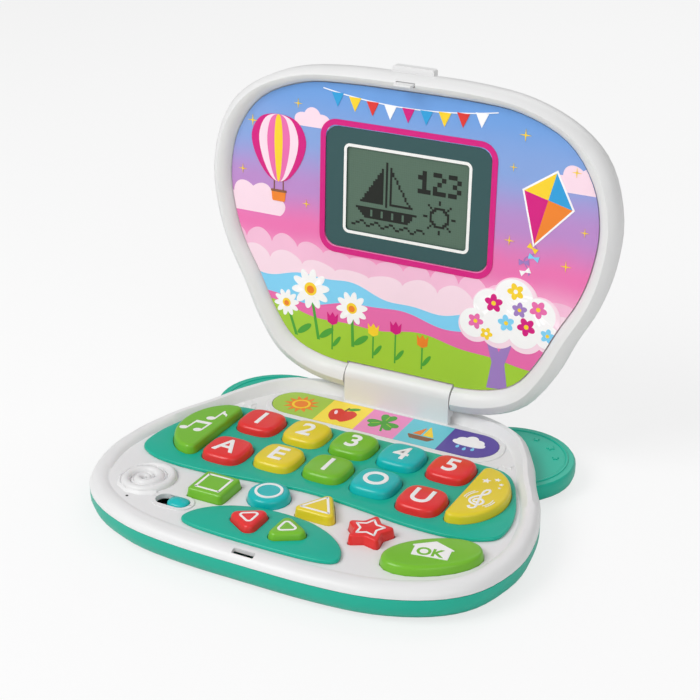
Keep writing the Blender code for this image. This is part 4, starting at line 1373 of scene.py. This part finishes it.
    def make_knob(self) -> None:
        """Mould the rounded knob of the slide switch."""
        bottom, top = levels("power_slider")
        outline = turned(superellipse(5.3, 4.1, 2.5), self.knob_at)
        obj = flat_face("power_slider_knob", outline, bottom + 0.2)
        raise_face(obj, [(0.0, top - bottom - 2.4)] + round_over(1.6, 5, 1.5))
        dome_top(obj, 0.7)
        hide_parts("power_slider")
        hand_over(obj, Plastic.BLUE.value, "power_slider")


# Printed sheets


@dataclass
class Decal:
    """A printed shape: its ink, outline and layer."""

    ink: Ink
    outline: Outline
    layer: int = 4


@dataclass
class PrintedSheet:
    """A sheet with shapes printed on it, in its own plane."""

    name: str
    body: str
    place: Matrix
    top: float
    step: float = 0.035
    sink: float = 0.15

    def lay(self, decals: list[Decal], clip: bpy.types.Object | None = None) -> None:
        """Print shapes, joined by ink and layer.

        Args:
            decals: the shapes.
            clip: the solid that they are cut to, if any.
        """
        groups: dict[tuple[int, str], list[Decal]] = {}
        for decal in decals:
            groups.setdefault((decal.layer, decal.ink.name), []).append(decal)
        for (layer, ink), members in sorted(groups.items()):
            high = self.top + self.step * layer
            pieces = [plate("decal", d.outline, self.top - self.sink, high) for d in members]
            obj = joined(f"{self.name}_{ink.lower()}_{layer}", pieces)
            settle(obj, self.place)
            if clip:
                combine(obj, clip, "INTERSECT", keep=True)
                close(obj)
            hand_over(obj, Ink[ink].value, self.body)


def petals(at: Point, count: int, reach: float, width: float, turn: float = 0.0) -> list[Outline]:
    """Draw the petals of a flower.

    Args:
        at: its middle.
        count: number of petals.
        reach: length of a petal.
        width: width of a petal.
        turn: degrees.

    Returns:
        One outline for each petal.
    """
    made = []
    for i in range(count):
        angle = turn + 360 * i / count
        c, s = math.cos(math.radians(angle)), math.sin(math.radians(angle))
        middle = (at[0] + c * reach * 0.55, at[1] + s * reach * 0.55)
        made.append(turned(superellipse(reach / 2, width / 2, 2.0, 24), middle, angle))
    return made


def disc(radius: float, at: Point, count: int = 28) -> Outline:
    """Draw a circle about a place, and return its outline."""
    return turned(superellipse(radius, radius, 2.0, count), at)


def puff(at: Point, width: float, height: float, lobes: int = 5) -> Outline:
    """Draw a cloud: lobes above a level foot.

    Args:
        at: the middle of its foot.
        width: its width.
        height: its height.
        lobes: lobes along its top.

    Returns:
        The outline.
    """
    made = []
    for i in range(lobes * 10 + 1):
        angle = math.pi * i / (lobes * 10)
        lobe = 0.80 + 0.20 * abs(math.sin(angle * lobes))
        x = at[0] + width / 2 * math.cos(angle) * lobe
        made.append((x, at[1] + height * math.sin(angle) * lobe))
    return made


def ridge_line(start: float, slope: float, waves: tuple[Triple, ...], floor: float = 3.0) -> Outline:
    """Draw a hill across the whole panel.

    Args:
        start: its height at the middle.
        slope: rise for each millimetre to the right.
        waves: (height, length, phase) of each wave on it.
        floor: its lower edge.

    Returns:
        The outline.
    """
    made = [(-PANEL_REACH, floor), (PANEL_REACH, floor)]
    for i in range(89):
        u = PANEL_REACH - 2.5 * i
        v = start + slope * u
        for height, length, phase in waves:
            v += height * math.sin(2 * math.pi * u / length + phase)
        made.append((u, v))
    return made


def cloud_line(start: float, slope: float, lobe: float, height: float) -> Outline:
    """Draw a bank of clouds across the whole panel.

    Args:
        start: its height at the middle.
        slope: rise for each millimetre to the right.
        lobe: width of a lobe.
        height: height of a lobe.

    Returns:
        The outline.
    """
    floor = 4.0
    made = [(-PANEL_REACH, floor), (PANEL_REACH, floor)]
    for i in range(221):
        u = PANEL_REACH - i
        big = 1.0 + 0.5 * math.sin(u / 17.0)
        swell = height * big * abs(math.sin(math.pi * u / lobe)) ** 0.6
        made.append((u, start + slope * u + swell))
    return made


@dataclass
class PictureStrip:
    """The strip of five coloured cells behind the keys."""

    y: float = 49.4
    top: float = 18.0
    centres: tuple[float, ...] = (-47.0, -22.85, 0.0, 22.85, 47.0)

    def build(self) -> None:
        """Print the cells and a plain sign in each."""
        dress_node("picture_strip", Sheet.CELLS.value)
        sheet = PrintedSheet("strip", "base", Matrix.Identity(4), self.top)
        sheet.lay(self.sun() + self.apple() + self.clover() + self.boat() + self.cloud())

    def sun(self) -> list[Decal]:
        """Return an orange sun for the first cell."""
        at = (self.centres[0], self.y)
        rays = [Decal(Ink.ORANGE, turned(star(9.4, 5.4, 12), at, 8.0), 2)]
        return rays + [Decal(Ink.SUN, disc(4.9, at), 3), Decal(Ink.ORANGE, disc(3.6, at), 4)]

    def apple(self) -> list[Decal]:
        """Return a red apple for the second cell."""
        x, y = self.centres[1], self.y - 1.2
        body = [(0.0, 4.6), (3.6, 6.0), (7.0, 3.4), (6.4, -2.4), (3.0, -6.8), (0.0, -6.0)]
        body += [(-3.0, -6.8), (-6.4, -2.4), (-7.0, 3.4), (-3.6, 6.0)]
        shine = turned(superellipse(0.9, 2.2, 2.0, 20), (x - 4.0, y + 1.4), 20.0)
        leaf = turned(superellipse(3.2, 1.4, 2.0, 24), (x + 3.2, y + 8.0), 30.0)
        stem = turned(rounded_box(1.1, 4.4, 0.5), (x, y + 6.4), -8.0)
        return [
            Decal(Ink.RED, turned(smoothed(body), (x, y)), 2),
            Decal(Ink.BLUSH, shine, 3),
            Decal(Ink.LEAF, leaf, 3),
            Decal(Ink.BROWN, stem, 3),
        ]

    def clover(self) -> list[Decal]:
        """Return a green clover for the third cell."""
        at = (self.centres[2], self.y + 1.4)
        leaves = []
        for angle in (90.0, 210.0, 330.0):
            c, s = math.cos(math.radians(angle)), math.sin(math.radians(angle))
            blade = [(0.0, -4.6), (3.6, -0.6), (4.0, 2.6), (2.0, 3.9), (0.0, 2.6)]
            blade += [(-x, y) for x, y in blade[3:0:-1]]
            leaf = turned(smoothed(blade), (at[0] + 4.6 * c, at[1] + 4.6 * s), angle - 90)
            leaves.append(Decal(Ink.LEAF, leaf, 3))
            middle = (at[0] + 4.4 * c, at[1] + 4.4 * s)
            vein = turned(rounded_box(0.5, 4.4, 0.2), middle, angle - 90)
            leaves.append(Decal(Ink.MEADOW, vein, 4))
        stem = turned(rounded_box(1.2, 8.0, 0.5), (at[0] + 1.2, at[1] - 5.4), 18.0)
        return leaves + [Decal(Ink.LEAF, stem, 2)]

    def boat(self) -> list[Decal]:
        """Return a yellow sailing boat for the fourth cell."""
        x, y = self.centres[3], self.y
        hull = filleted([(-7.6, -3.2, 0.5), (-5.0, -7.0, 1.0), (5.0, -7.0, 1.0), (7.6, -3.2, 0.5)])
        main = filleted([(0.5, -2.2, 0.3), (6.2, -2.2, 0.3), (0.5, 8.2, 0.3)])
        jib = filleted([(-0.7, -2.2, 0.3), (-0.7, 6.2, 0.3), (-5.4, -2.2, 0.3)])
        return [
            Decal(Ink.BROWN, turned(hull, (x, y)), 2),
            Decal(Ink.SUN, turned(main, (x, y)), 2),
            Decal(Ink.ORANGE, turned(jib, (x, y)), 2),
        ]

    def cloud(self) -> list[Decal]:
        """Return a white cloud with drops for the fifth cell."""
        x, y = self.centres[4], self.y
        drop = [(0.0, 2.0), (0.9, -0.2), (0.0, -1.3), (-0.9, -0.2)]
        places = [(-4.0, -4.4), (0.0, -5.6), (4.0, -4.4)]
        decals = [Decal(Ink.AQUA, turned(smoothed(drop), (x + a, y + b)), 2) for a, b in places]
        low = turned(superellipse(8.6, 3.0, 2.4, 40), (x, y + 0.6))
        decals.append(Decal(Ink.WHITE, puff((x, y), 16.0, 8.4, 3), 2))
        return decals + [Decal(Ink.WHITE, low, 3)]


# The lid


@dataclass
class Lid:
    """The white lid with its printed panel, display and latch."""

    art_top: float = 2.5
    bezel_top: float = 2.3
    lcd_top: float = 1.4
    screen_v: float = 99.8
    border: Point = (94.4, 68.5)
    border_corner: float = 9.0
    border_width: float = 2.85
    view: Point = (65.4, 42.9)
    window_line: float = 1.5
    clip_rise: float = 0.45
    dot_rise: float = 0.05
    string_top: float = 148.6
    string_sag: float = 4.2
    string_half: float = 46.0
    pixel: float = 1.15
    columns: int = 54
    rows: int = 34

    def build(self) -> None:
        """Make the lid and print its panel."""
        hand_over(moulded_copy("lid_front_frame"), Plastic.WHITE.value, "lid")
        hand_over(moulded_copy("lid_back_shell"), Plastic.WHITE.value, "lid")
        hand_over(moulded_copy("latch_hook", 0.25), Plastic.WHITE.value, "lid")
        hand_over(moulded_copy("screen_bezel", 0.15), Sheet.BEZEL.value, "lid")
        dress_node("artwork_panel", Sheet.SKY.value)
        dress_node("lcd_panel", Sheet.LCD.value)
        self.print_panel()
        self.print_frames()
        self.light_pixels()

    def print_panel(self) -> None:
        """Print clouds, hills and plain outdoor motifs on the panel."""
        clip = cad_copy("panel_clip", "artwork_panel")
        forward = LID_PLACE.to_3x3() @ Vector((0.0, 0.0, self.clip_rise * MM))
        settle(clip, Matrix.Translation(forward))
        sheet = PrintedSheet("panel", "lid", LID_PLACE, self.art_top)
        sheet.lay(self.scenery(), clip)
        motifs = self.balloon() + self.kite() + self.daisies()
        sheet.lay(motifs + self.tree() + self.pennants() + self.sparks(), clip)
        bpy.data.objects.remove(clip)

    def scenery(self) -> list[Decal]:
        """Return the cloud banks and hills, back to front."""
        green = ridge_line(28.5, -0.03, ((2.2, 96.0, 0.7), (0.9, 41.0, 0.0)))
        rose = ridge_line(38.5, 0.015, ((2.6, 88.0, 2.4), (0.8, 37.0, 1.0)))
        aqua = ridge_line(46.5, -0.045, ((2.7, 92.0, 4.2), (1.0, 33.0, 0.4)))
        return [
            Decal(Ink.BLUSH, puff((-86.0, 79.0), 40.0, 17.0, 4), 1),
            Decal(Ink.BLUSH, puff((89.0, 116.0), 34.0, 14.0, 4), 1),
            Decal(Ink.BLUSH, puff((-52.0, 128.0), 22.0, 10.0, 3), 1),
            Decal(Ink.CLOUD, cloud_line(62.0, -0.035, 15.0, 4.2), 2),
            Decal(Ink.BLUSH, cloud_line(54.5, -0.02, 19.0, 4.0), 3),
            Decal(Ink.AQUA, aqua, 4),
            Decal(Ink.ROSE, rose, 5),
            Decal(Ink.MEADOW, green, 6),
        ]

    def balloon(self) -> list[Decal]:
        """Return a striped hot-air balloon for the left of the panel."""
        at = (-71.0, 112.0)
        half = [(0.0, 20.0), (10.5, 17.4), (15.6, 8.0), (12.6, -3.6), (4.6, -13.5)]
        decals = []
        stripes = ((Ink.MAGENTA, 1.0), (Ink.BLUSH, 0.72), (Ink.ROSE, 0.42), (Ink.SUN, 0.15))
        for layer, (ink, share) in enumerate(stripes, 7):
            side = [(x * share, y) for x, y in half]
            outline = smoothed(side + [(-x, y) for x, y in side[:0:-1]])
            decals.append(Decal(ink, turned(outline, at), layer))
        for x in (-2.6, 2.6):
            rope = turned(rounded_box(0.5, 9.0, 0.2), (at[0] + x, at[1] - 16.0))
            decals.append(Decal(Ink.BROWN, rope, 7))
        basket = [(-3.6, -25.0, 0.8), (3.6, -25.0, 0.8), (4.2, -19.4, 0.4), (-4.2, -19.4, 0.4)]
        decals.append(Decal(Ink.ORANGE, turned(filleted(basket), at), 8))
        band = turned(rounded_box(9.0, 1.2, 0.5), (at[0], at[1] - 19.6))
        decals.append(Decal(Ink.BROWN, band, 9))
        return decals

    def kite(self) -> list[Decal]:
        """Return a kite with a tail for the right of the panel."""
        at, turn = (72.0, 106.0), -14.0
        top, low, middle = (0.0, 19.0), (0.0, -18.0), (0.0, 5.0)
        left, right = (-12.5, 5.0), (12.5, 5.0)
        rim = turned(grown(anticlockwise([top, left, low, right]), 0.9), at, turn)
        decals = [Decal(Ink.WHITE, rim, 7)]
        fields = [(Ink.SUN, top, left), (Ink.MAGENTA, left, low)]
        fields += [(Ink.ORANGE, low, right), (Ink.BLUE, right, top)]
        for ink, a, b in fields:
            decals.append(Decal(ink, turned([a, b, middle], at, turn), 8))
        bow = [(0.0, 0.3), (2.6, 1.5), (2.6, -1.5), (0.0, -0.3), (-2.6, -1.5), (-2.6, 1.5)]
        for i, ink in enumerate((Ink.SUN, Ink.AQUA, Ink.LILAC, Ink.WHITE)):
            x, y = 2.2 * math.sin(i * 2.1), -20.5 - 4.2 * i
            decals.append(Decal(ink, turned(turned(bow, (x, y), 20.0 * (i - 1)), at, turn), 8))
        steps = [0.6 * k for k in range(28)]
        tail = [(2.2 * math.sin(t * 2.1 / 4.2), -18.0 - t) for t in steps]
        outline = [(x - 0.25, y) for x, y in tail] + [(x + 0.25, y) for x, y in tail[::-1]]
        decals.append(Decal(Ink.LILAC, turned(outline, at, turn), 7))
        return decals

    def daisies(self) -> list[Decal]:
        """Return daisies and tulips for the lower left of the panel."""
        decals = []
        places = [(-52.0, 43.0, 10.5, -47.0), (-28.0, 37.0, 8.6, -27.0), (-66.0, 33.0, 7.0, -60.0)]
        for u, v, reach, foot in places:
            stem = [(u - 0.7, v), (u + 0.7, v), (foot + 0.9, 16.0), (foot - 0.9, 16.0)]
            decals.append(Decal(Ink.LEAF, stem, 7))
            leaf = turned(superellipse(5.0, 1.7, 2.0, 24), (foot + 4.6, 20.5), 38.0)
            decals.append(Decal(Ink.LEAF, leaf, 8))
            ring = petals((u, v), 10, reach, reach * 0.42, 9.0)
            decals += [Decal(Ink.WHITE, petal, 9) for petal in ring]
            decals.append(Decal(Ink.SUN, disc(reach * 0.34, (u, v)), 10))
            decals.append(Decal(Ink.ORANGE, disc(reach * 0.2, (u, v - 0.3)), 11))
        tulips = [(-39.0, 29.0, Ink.MAGENTA), (-15.5, 27.5, Ink.SUN)]
        tulips += [(-3.0, 31.0, Ink.MAGENTA), (12.0, 27.0, Ink.ORANGE)]
        cup = [(-3.2, 3.4), (-1.5, 1.4), (0.0, 3.8), (1.5, 1.4), (3.2, 3.4)]
        cup += [(2.8, -2.0), (0.0, -3.4), (-2.8, -2.0)]
        for u, v, ink in tulips:
            stem = rounded_box(0.9, v - 13.0, 0.3, (u, (v + 11.0) / 2))
            decals.append(Decal(Ink.LEAF, stem, 7))
            leaf = turned(superellipse(3.8, 1.1, 2.0, 20), (u + 2.6, 17.0), 55.0)
            decals.append(Decal(Ink.LEAF, leaf, 8))
            decals.append(Decal(ink, turned(cup, (u, v)), 9))
        return decals

    def tree(self) -> list[Decal]:
        """Return a tree in blossom for the lower right of the panel."""
        trunk = [(47.5, 10.0), (49.6, 24.0), (46.0, 36.0), (50.0, 36.6), (53.0, 30.0)]
        trunk += [(57.0, 38.0), (60.0, 36.5), (56.4, 24.0), (58.5, 11.0)]
        decals = [Decal(Ink.LILAC, trunk, 7)]
        lobes = [(40.0, 42.0, 9.0), (48.0, 52.0, 10.5), (60.0, 58.0, 12.0), (73.0, 52.0, 10.5)]
        lobes += [(78.0, 42.0, 7.5), (52.0, 42.0, 10.0), (66.0, 42.0, 10.0)]
        decals += [Decal(Ink.BLUSH, disc(r, (u, v), 40), 8) for u, v, r in lobes]
        for u, v, r in lobes:
            decals.append(Decal(Ink.WHITE, disc(r * 0.84, (u - 0.8, v + 1.0), 40), 9))
        blooms = [(40.0, 44.0, Ink.ROSE, 4.0), (49.0, 55.0, Ink.MAGENTA, 4.6)]
        blooms += [(60.0, 63.0, Ink.SUN, 4.2), (72.0, 56.0, Ink.ROSE, 4.4), (77.5, 43.5, Ink.AQUA, 3.6)]
        blooms += [(56.0, 46.0, Ink.AQUA, 4.2), (66.5, 46.0, Ink.MAGENTA, 4.6)]
        blooms += [(46.0, 38.5, Ink.SUN, 3.2), (62.5, 54.0, Ink.LILAC, 3.8)]
        for i, (u, v, ink, reach) in enumerate(blooms):
            ring = petals((u, v), 5, reach, reach * 0.72, 20.0 * i)
            decals += [Decal(ink, petal, 10) for petal in ring]
            pollen = Ink.WHITE if ink is Ink.SUN else Ink.SUN
            decals.append(Decal(pollen, disc(reach * 0.26, (u, v), 20), 11))
        return decals

    def string_height(self, u: float) -> float:
        """Return how high the string of flags hangs at u."""
        return self.string_top - self.string_sag * (1 - (u / self.string_half) ** 2)

    def pennants(self) -> list[Decal]:
        """Return a string of small flags along the top of the panel."""
        line = [(u, self.string_height(u)) for u in (-self.string_half + 4.0 * i for i in range(24))]
        outline = [(u, v + 0.25) for u, v in line] + [(u, v - 0.25) for u, v in line[::-1]]
        decals = [Decal(Ink.WHITE, outline, 7)]
        inks = [Ink.BLUE, Ink.SUN, Ink.RED, Ink.WHITE, Ink.MAGENTA]
        for i in range(9):
            u = -38.0 + 9.5 * i
            v = self.string_height(u)
            flag = [(u - 3.3, v), (u, v - 7.0), (u + 3.3, v)]
            decals.append(Decal(inks[i % len(inks)], flag, 8))
        return decals

    def sparks(self) -> list[Decal]:
        """Return small four-pointed sparks for the sky."""
        places = [(-86.0, 127.0, 3.0), (-60.0, 139.0, 2.4), (60.0, 140.0, 3.0), (86.0, 126.0, 2.4)]
        places += [(92.0, 98.0, 2.2), (-92.0, 101.0, 2.4), (55.0, 88.0, 2.6), (-55.0, 88.0, 2.2)]
        places += [(84.0, 80.0, 2.8), (55.0, 124.0, 2.0)]
        return [Decal(Ink.SUN, turned(star(r, r * 0.16, 4), (u, v)), 7) for u, v, r in places]

    def print_frames(self) -> None:
        """Print the magenta border round the display and the pale line round its window."""
        at = (0.0, self.screen_v)
        outline = rounded_box(*self.border, self.border_corner, at)
        low, high = self.art_top - 0.1, self.art_top + 0.3
        obj = line_ring("display_border", outline, self.border_width, low, high)
        settle(obj, LID_PLACE)
        hand_over(obj, Ink.MAGENTA.value, "lid")
        width, height = self.view
        line = self.window_line
        outline = rounded_box(width + 2 * line, height + 2 * line, 3.2, at)
        low, high = self.bezel_top - 0.3, self.bezel_top + 0.06
        obj = line_ring("window_line", outline, line, low, high)
        settle(obj, LID_PLACE)
        hand_over(obj, Ink.LEGEND.value, "lid")

    def lit(self) -> set[tuple[int, int]]:
        """Return the dark dots of the display: a sailing boat, a sun, and three numbers."""
        dots = {(17, r) for r in range(3, 23)}
        for r in range(5, 22):
            dots |= {(c, r) for c in range(17 - (r - 3) * 2 // 3, 16)}
            edge = 19 + (r - 5) * 3 // 5
            dots |= {(19, r), (edge, r)}
        dots |= {(c, 21) for c in range(19, 30)}
        for r in range(24, 29):
            hull = range(r - 21, 56 - r)
            dots |= {(c, r) for c in hull if r in (24, 28) or c < r - 18 or c % 5}
        for c in range(1, 36):
            dots.add((c, 31 + round(math.sin(c * 0.9))))
        # The digits 1, 2 and 3, three wide and five high, each bit two dots across
        digits = ("010110010010111", "110001010100111", "110001010001110")
        for k, bits in enumerate(digits):
            for i, bit in enumerate(bits):
                if bit == "1":
                    across, down = 32 + 7 * k + 2 * (i % 3), 4 + 2 * (i // 3)
                    dots |= {(across + a, down + b) for a in (0, 1) for b in (0, 1)}
        for i in range(48):
            angle = 2 * math.pi * i / 48
            reaches = (4.0, 6.0, 7.0) if i % 6 == 0 else (4.0,)
            for reach in reaches:
                dots.add((round(42 + reach * math.cos(angle)), round(23 + reach * math.sin(angle))))
        return dots

    def light_pixels(self) -> None:
        """Lay the display's dark dots on its film, cut from a grid."""
        deselect()
        size = self.pixel * MM
        counts = {"x_subdivisions": self.columns, "y_subdivisions": self.rows}
        bpy.ops.mesh.primitive_grid_add(**counts, size=1.0)
        obj = bpy.context.object
        obj.name = "display_dots"
        scale = Matrix.Diagonal((self.columns * size, self.rows * size, 1.0, 1.0))
        middle = self.screen_v * MM
        settle(obj, Matrix.Translation((0.0, middle, self.lcd_top * MM)) @ scale)
        dots = self.lit()

        def unlit(face: bpy.types.MeshPolygon) -> bool:
            """Tell whether a cell of the grid is not one of the dark dots."""
            column = int(face.center.x / size + self.columns / 2)
            row = int(self.rows / 2 - (face.center.y - middle) / size)
            return (column, row) not in dots

        choose(obj, unlit)
        bpy.ops.mesh.delete(type="FACE")
        bpy.ops.mesh.select_all(action="SELECT")
        lift(self.dot_rise)
        close(obj)
        settle(obj, LID_PLACE)
        hand_over(obj, Ink.DOT.value, "lid")


# Inside and underneath


@dataclass
class Fittings:
    """Screws, pins, cells, boards and the other kept solids."""

    steel: tuple[str, ...] = (
        "contact_left",
        "contact_right",
        "hinge_pin_left",
        "hinge_pin_right",
        "power_switch",
    )

    def build(self) -> None:
        """Finish the kept solids, and cut a cross into each screw's head."""
        for node in self.steel:
            dress_node(node, Sheet.STEEL.value)
        for i in range(1, 4):
            dress_node(f"battery_{i}", Sheet.JACKET.value)
        dress_node("battery_tray", Plastic.BLACK.value)
        dress_node("keypad_membrane", Sheet.SILICONE.value)
        dress_node("main_board", Sheet.BOARD.value)
        dress_node("lcd_board", Sheet.BOARD.value)
        dress_node("speaker", Sheet.CONE.value)
        down = Vector((0.0, 0.0, -1.0))
        behind = -(LID_PLACE.to_3x3() @ Vector((0.0, 0.0, 1.0)))
        for i in range(1, 5):
            self.cross_head(f"case_screw_{i}", "base", down)
            self.cross_head(f"lid_screw_{i}", "lid", behind)
        self.cross_head("battery_cover_screw", "base", down, 1.7)

    def cross_head(self, node: str, body: str, out: Vector, span: float = 3.4) -> None:
        """Cut a cross recess into a screw.

        Args:
            node: the screw's CAD node.
            body: the body that it rides on.
            out: the way that its head faces.
            span: length of the recess.
        """
        obj = moulded_copy(node, 0.12)
        head = max((v.co for v in obj.data.vertices), key=lambda co: co.dot(out)).dot(out)
        low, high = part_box(node)
        centre = (low + high) / 2
        centre += out * (head - centre.dot(out))
        bars = []
        for turn in (0.0, 90.0):
            bar = turned(rounded_box(span, span * 0.24, 0.1), (0.0, 0.0), turn)
            bars.append(plate("recess", bar, -0.5, 0.5))
        cutter = joined("recesses", bars)
        turn = out.to_track_quat("Z", "Y").to_matrix().to_4x4()
        settle(cutter, Matrix.Translation(centre) @ turn)
        combine(obj, cutter, "DIFFERENCE")
        hand_over(obj, Sheet.STEEL.value, body)


# Studio


@dataclass
class Studio:
    """A pale floor, soft light and the camera."""

    camera: Triple = (0.31819, -0.59388, 0.39292)
    camera_turn: Triple = (65.04, 0.0, 27.64)
    lens: float = 82.53
    sensor: float = 36.0
    floor_size: float = 8.0
    floor_glow: float = 0.72
    room_light: float = 0.42
    aim: Triple = (0.0, 0.0, 0.06)
    # Name, place in metres, side in metres and watts of each lamp
    lamps: tuple[tuple[str, Triple, float, float], ...] = (
        ("key_light", (-0.62, -0.85, 1.12), 0.8, 13.0),
        ("fill_light", (1.0, -0.9, 0.7), 1.0, 4.0),
        ("back_light", (0.1, 1.1, 1.0), 1.0, 4.0),
    )

    def build(self) -> None:
        """Set up the floor, lights, world and camera."""
        bpy.context.scene.view_settings.view_transform = "Standard"
        self.lay_floor()
        for lamp in self.lamps:
            self.hang_light(*lamp)
        self.set_world()
        data = bpy.data.cameras.new("photo_camera")
        data.lens = self.lens
        data.sensor_width = self.sensor
        data.clip_end = 20.0
        obj = placed("photo_camera", data)
        obj.location = self.camera
        obj.rotation_euler = [math.radians(a) for a in self.camera_turn]
        bpy.context.scene.camera = obj

    def lay_floor(self) -> None:
        """Lay a white floor that shows as the background and takes a soft shadow."""
        deselect()
        bpy.ops.mesh.primitive_plane_add(size=self.floor_size)
        floor = bpy.context.object
        floor.name = "studio_floor"
        made = bpy.data.materials.new("studio_paper")
        made.use_nodes = True
        tree = made.node_tree
        shader = next(n for n in tree.nodes if n.type == "BSDF_PRINCIPLED")
        shader.inputs["Base Color"].default_value = linear("#F2F2F2")
        shader.inputs["Roughness"].default_value = 0.9
        inputs = {"Color": PURE_WHITE, "Strength": 1.0}
        glow = add_node(tree, "ShaderNodeEmission", None, inputs)
        path = add_node(tree, "ShaderNodeLightPath")
        inputs = {0: path.outputs["Is Camera Ray"], 1: self.floor_glow}
        share = add_node(tree, "ShaderNodeMath", {"operation": "MULTIPLY"}, inputs)
        inputs = {0: share.outputs["Value"], 1: shader.outputs["BSDF"], 2: glow.outputs["Emission"]}
        blend = add_node(tree, "ShaderNodeMixShader", None, inputs)
        out = next(n for n in tree.nodes if n.type == "OUTPUT_MATERIAL")
        tree.links.new(blend.outputs["Shader"], out.inputs["Surface"])
        floor.data.materials.append(made)

    def hang_light(self, name: str, at: Triple, size: float, power: float) -> None:
        """Hang a soft square lamp that faces the toy.

        Args:
            name: its name.
            at: its place in metres.
            size: its side in metres.
            power: watts.
        """
        data = bpy.data.lights.new(name, "AREA")
        data.size = size
        data.energy = power
        obj = placed(name, data)
        obj.location = at
        aim = Vector(self.aim) - Vector(at)
        obj.rotation_euler = aim.to_track_quat("-Z", "Y").to_euler()

    def set_world(self) -> None:
        """Fill the room with even light, and show white behind the toy."""
        world = bpy.data.worlds.new("studio_room")
        bpy.context.scene.world = world
        world.use_nodes = True
        tree = world.node_tree
        tree.nodes.clear()
        path = add_node(tree, "ShaderNodeLightPath")
        inputs = {"Color": PURE_WHITE, "Strength": self.room_light}
        room = add_node(tree, "ShaderNodeBackground", None, inputs).outputs["Background"]
        inputs = {"Color": PURE_WHITE, "Strength": 1.0}
        paper = add_node(tree, "ShaderNodeBackground", None, inputs).outputs["Background"]
        inputs = {0: path.outputs["Is Camera Ray"], 1: room, 2: paper}
        blend = add_node(tree, "ShaderNodeMixShader", None, inputs)
        out = add_node(tree, "ShaderNodeOutputWorld")
        tree.links.new(blend.outputs["Shader"], out.inputs["Surface"])


def main() -> None:
    logging.basicConfig(level=logging.INFO, format="%(message)s")
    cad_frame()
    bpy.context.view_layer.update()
    keys = Keyboard()
    keys.plan()
    BaseCase().build(keys)
    keys.build()
    PictureStrip().build()
    Lid().build()
    Fittings().build()
    Studio().build()
    deselect()
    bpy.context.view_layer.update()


if __name__ == "__main__":
    main()
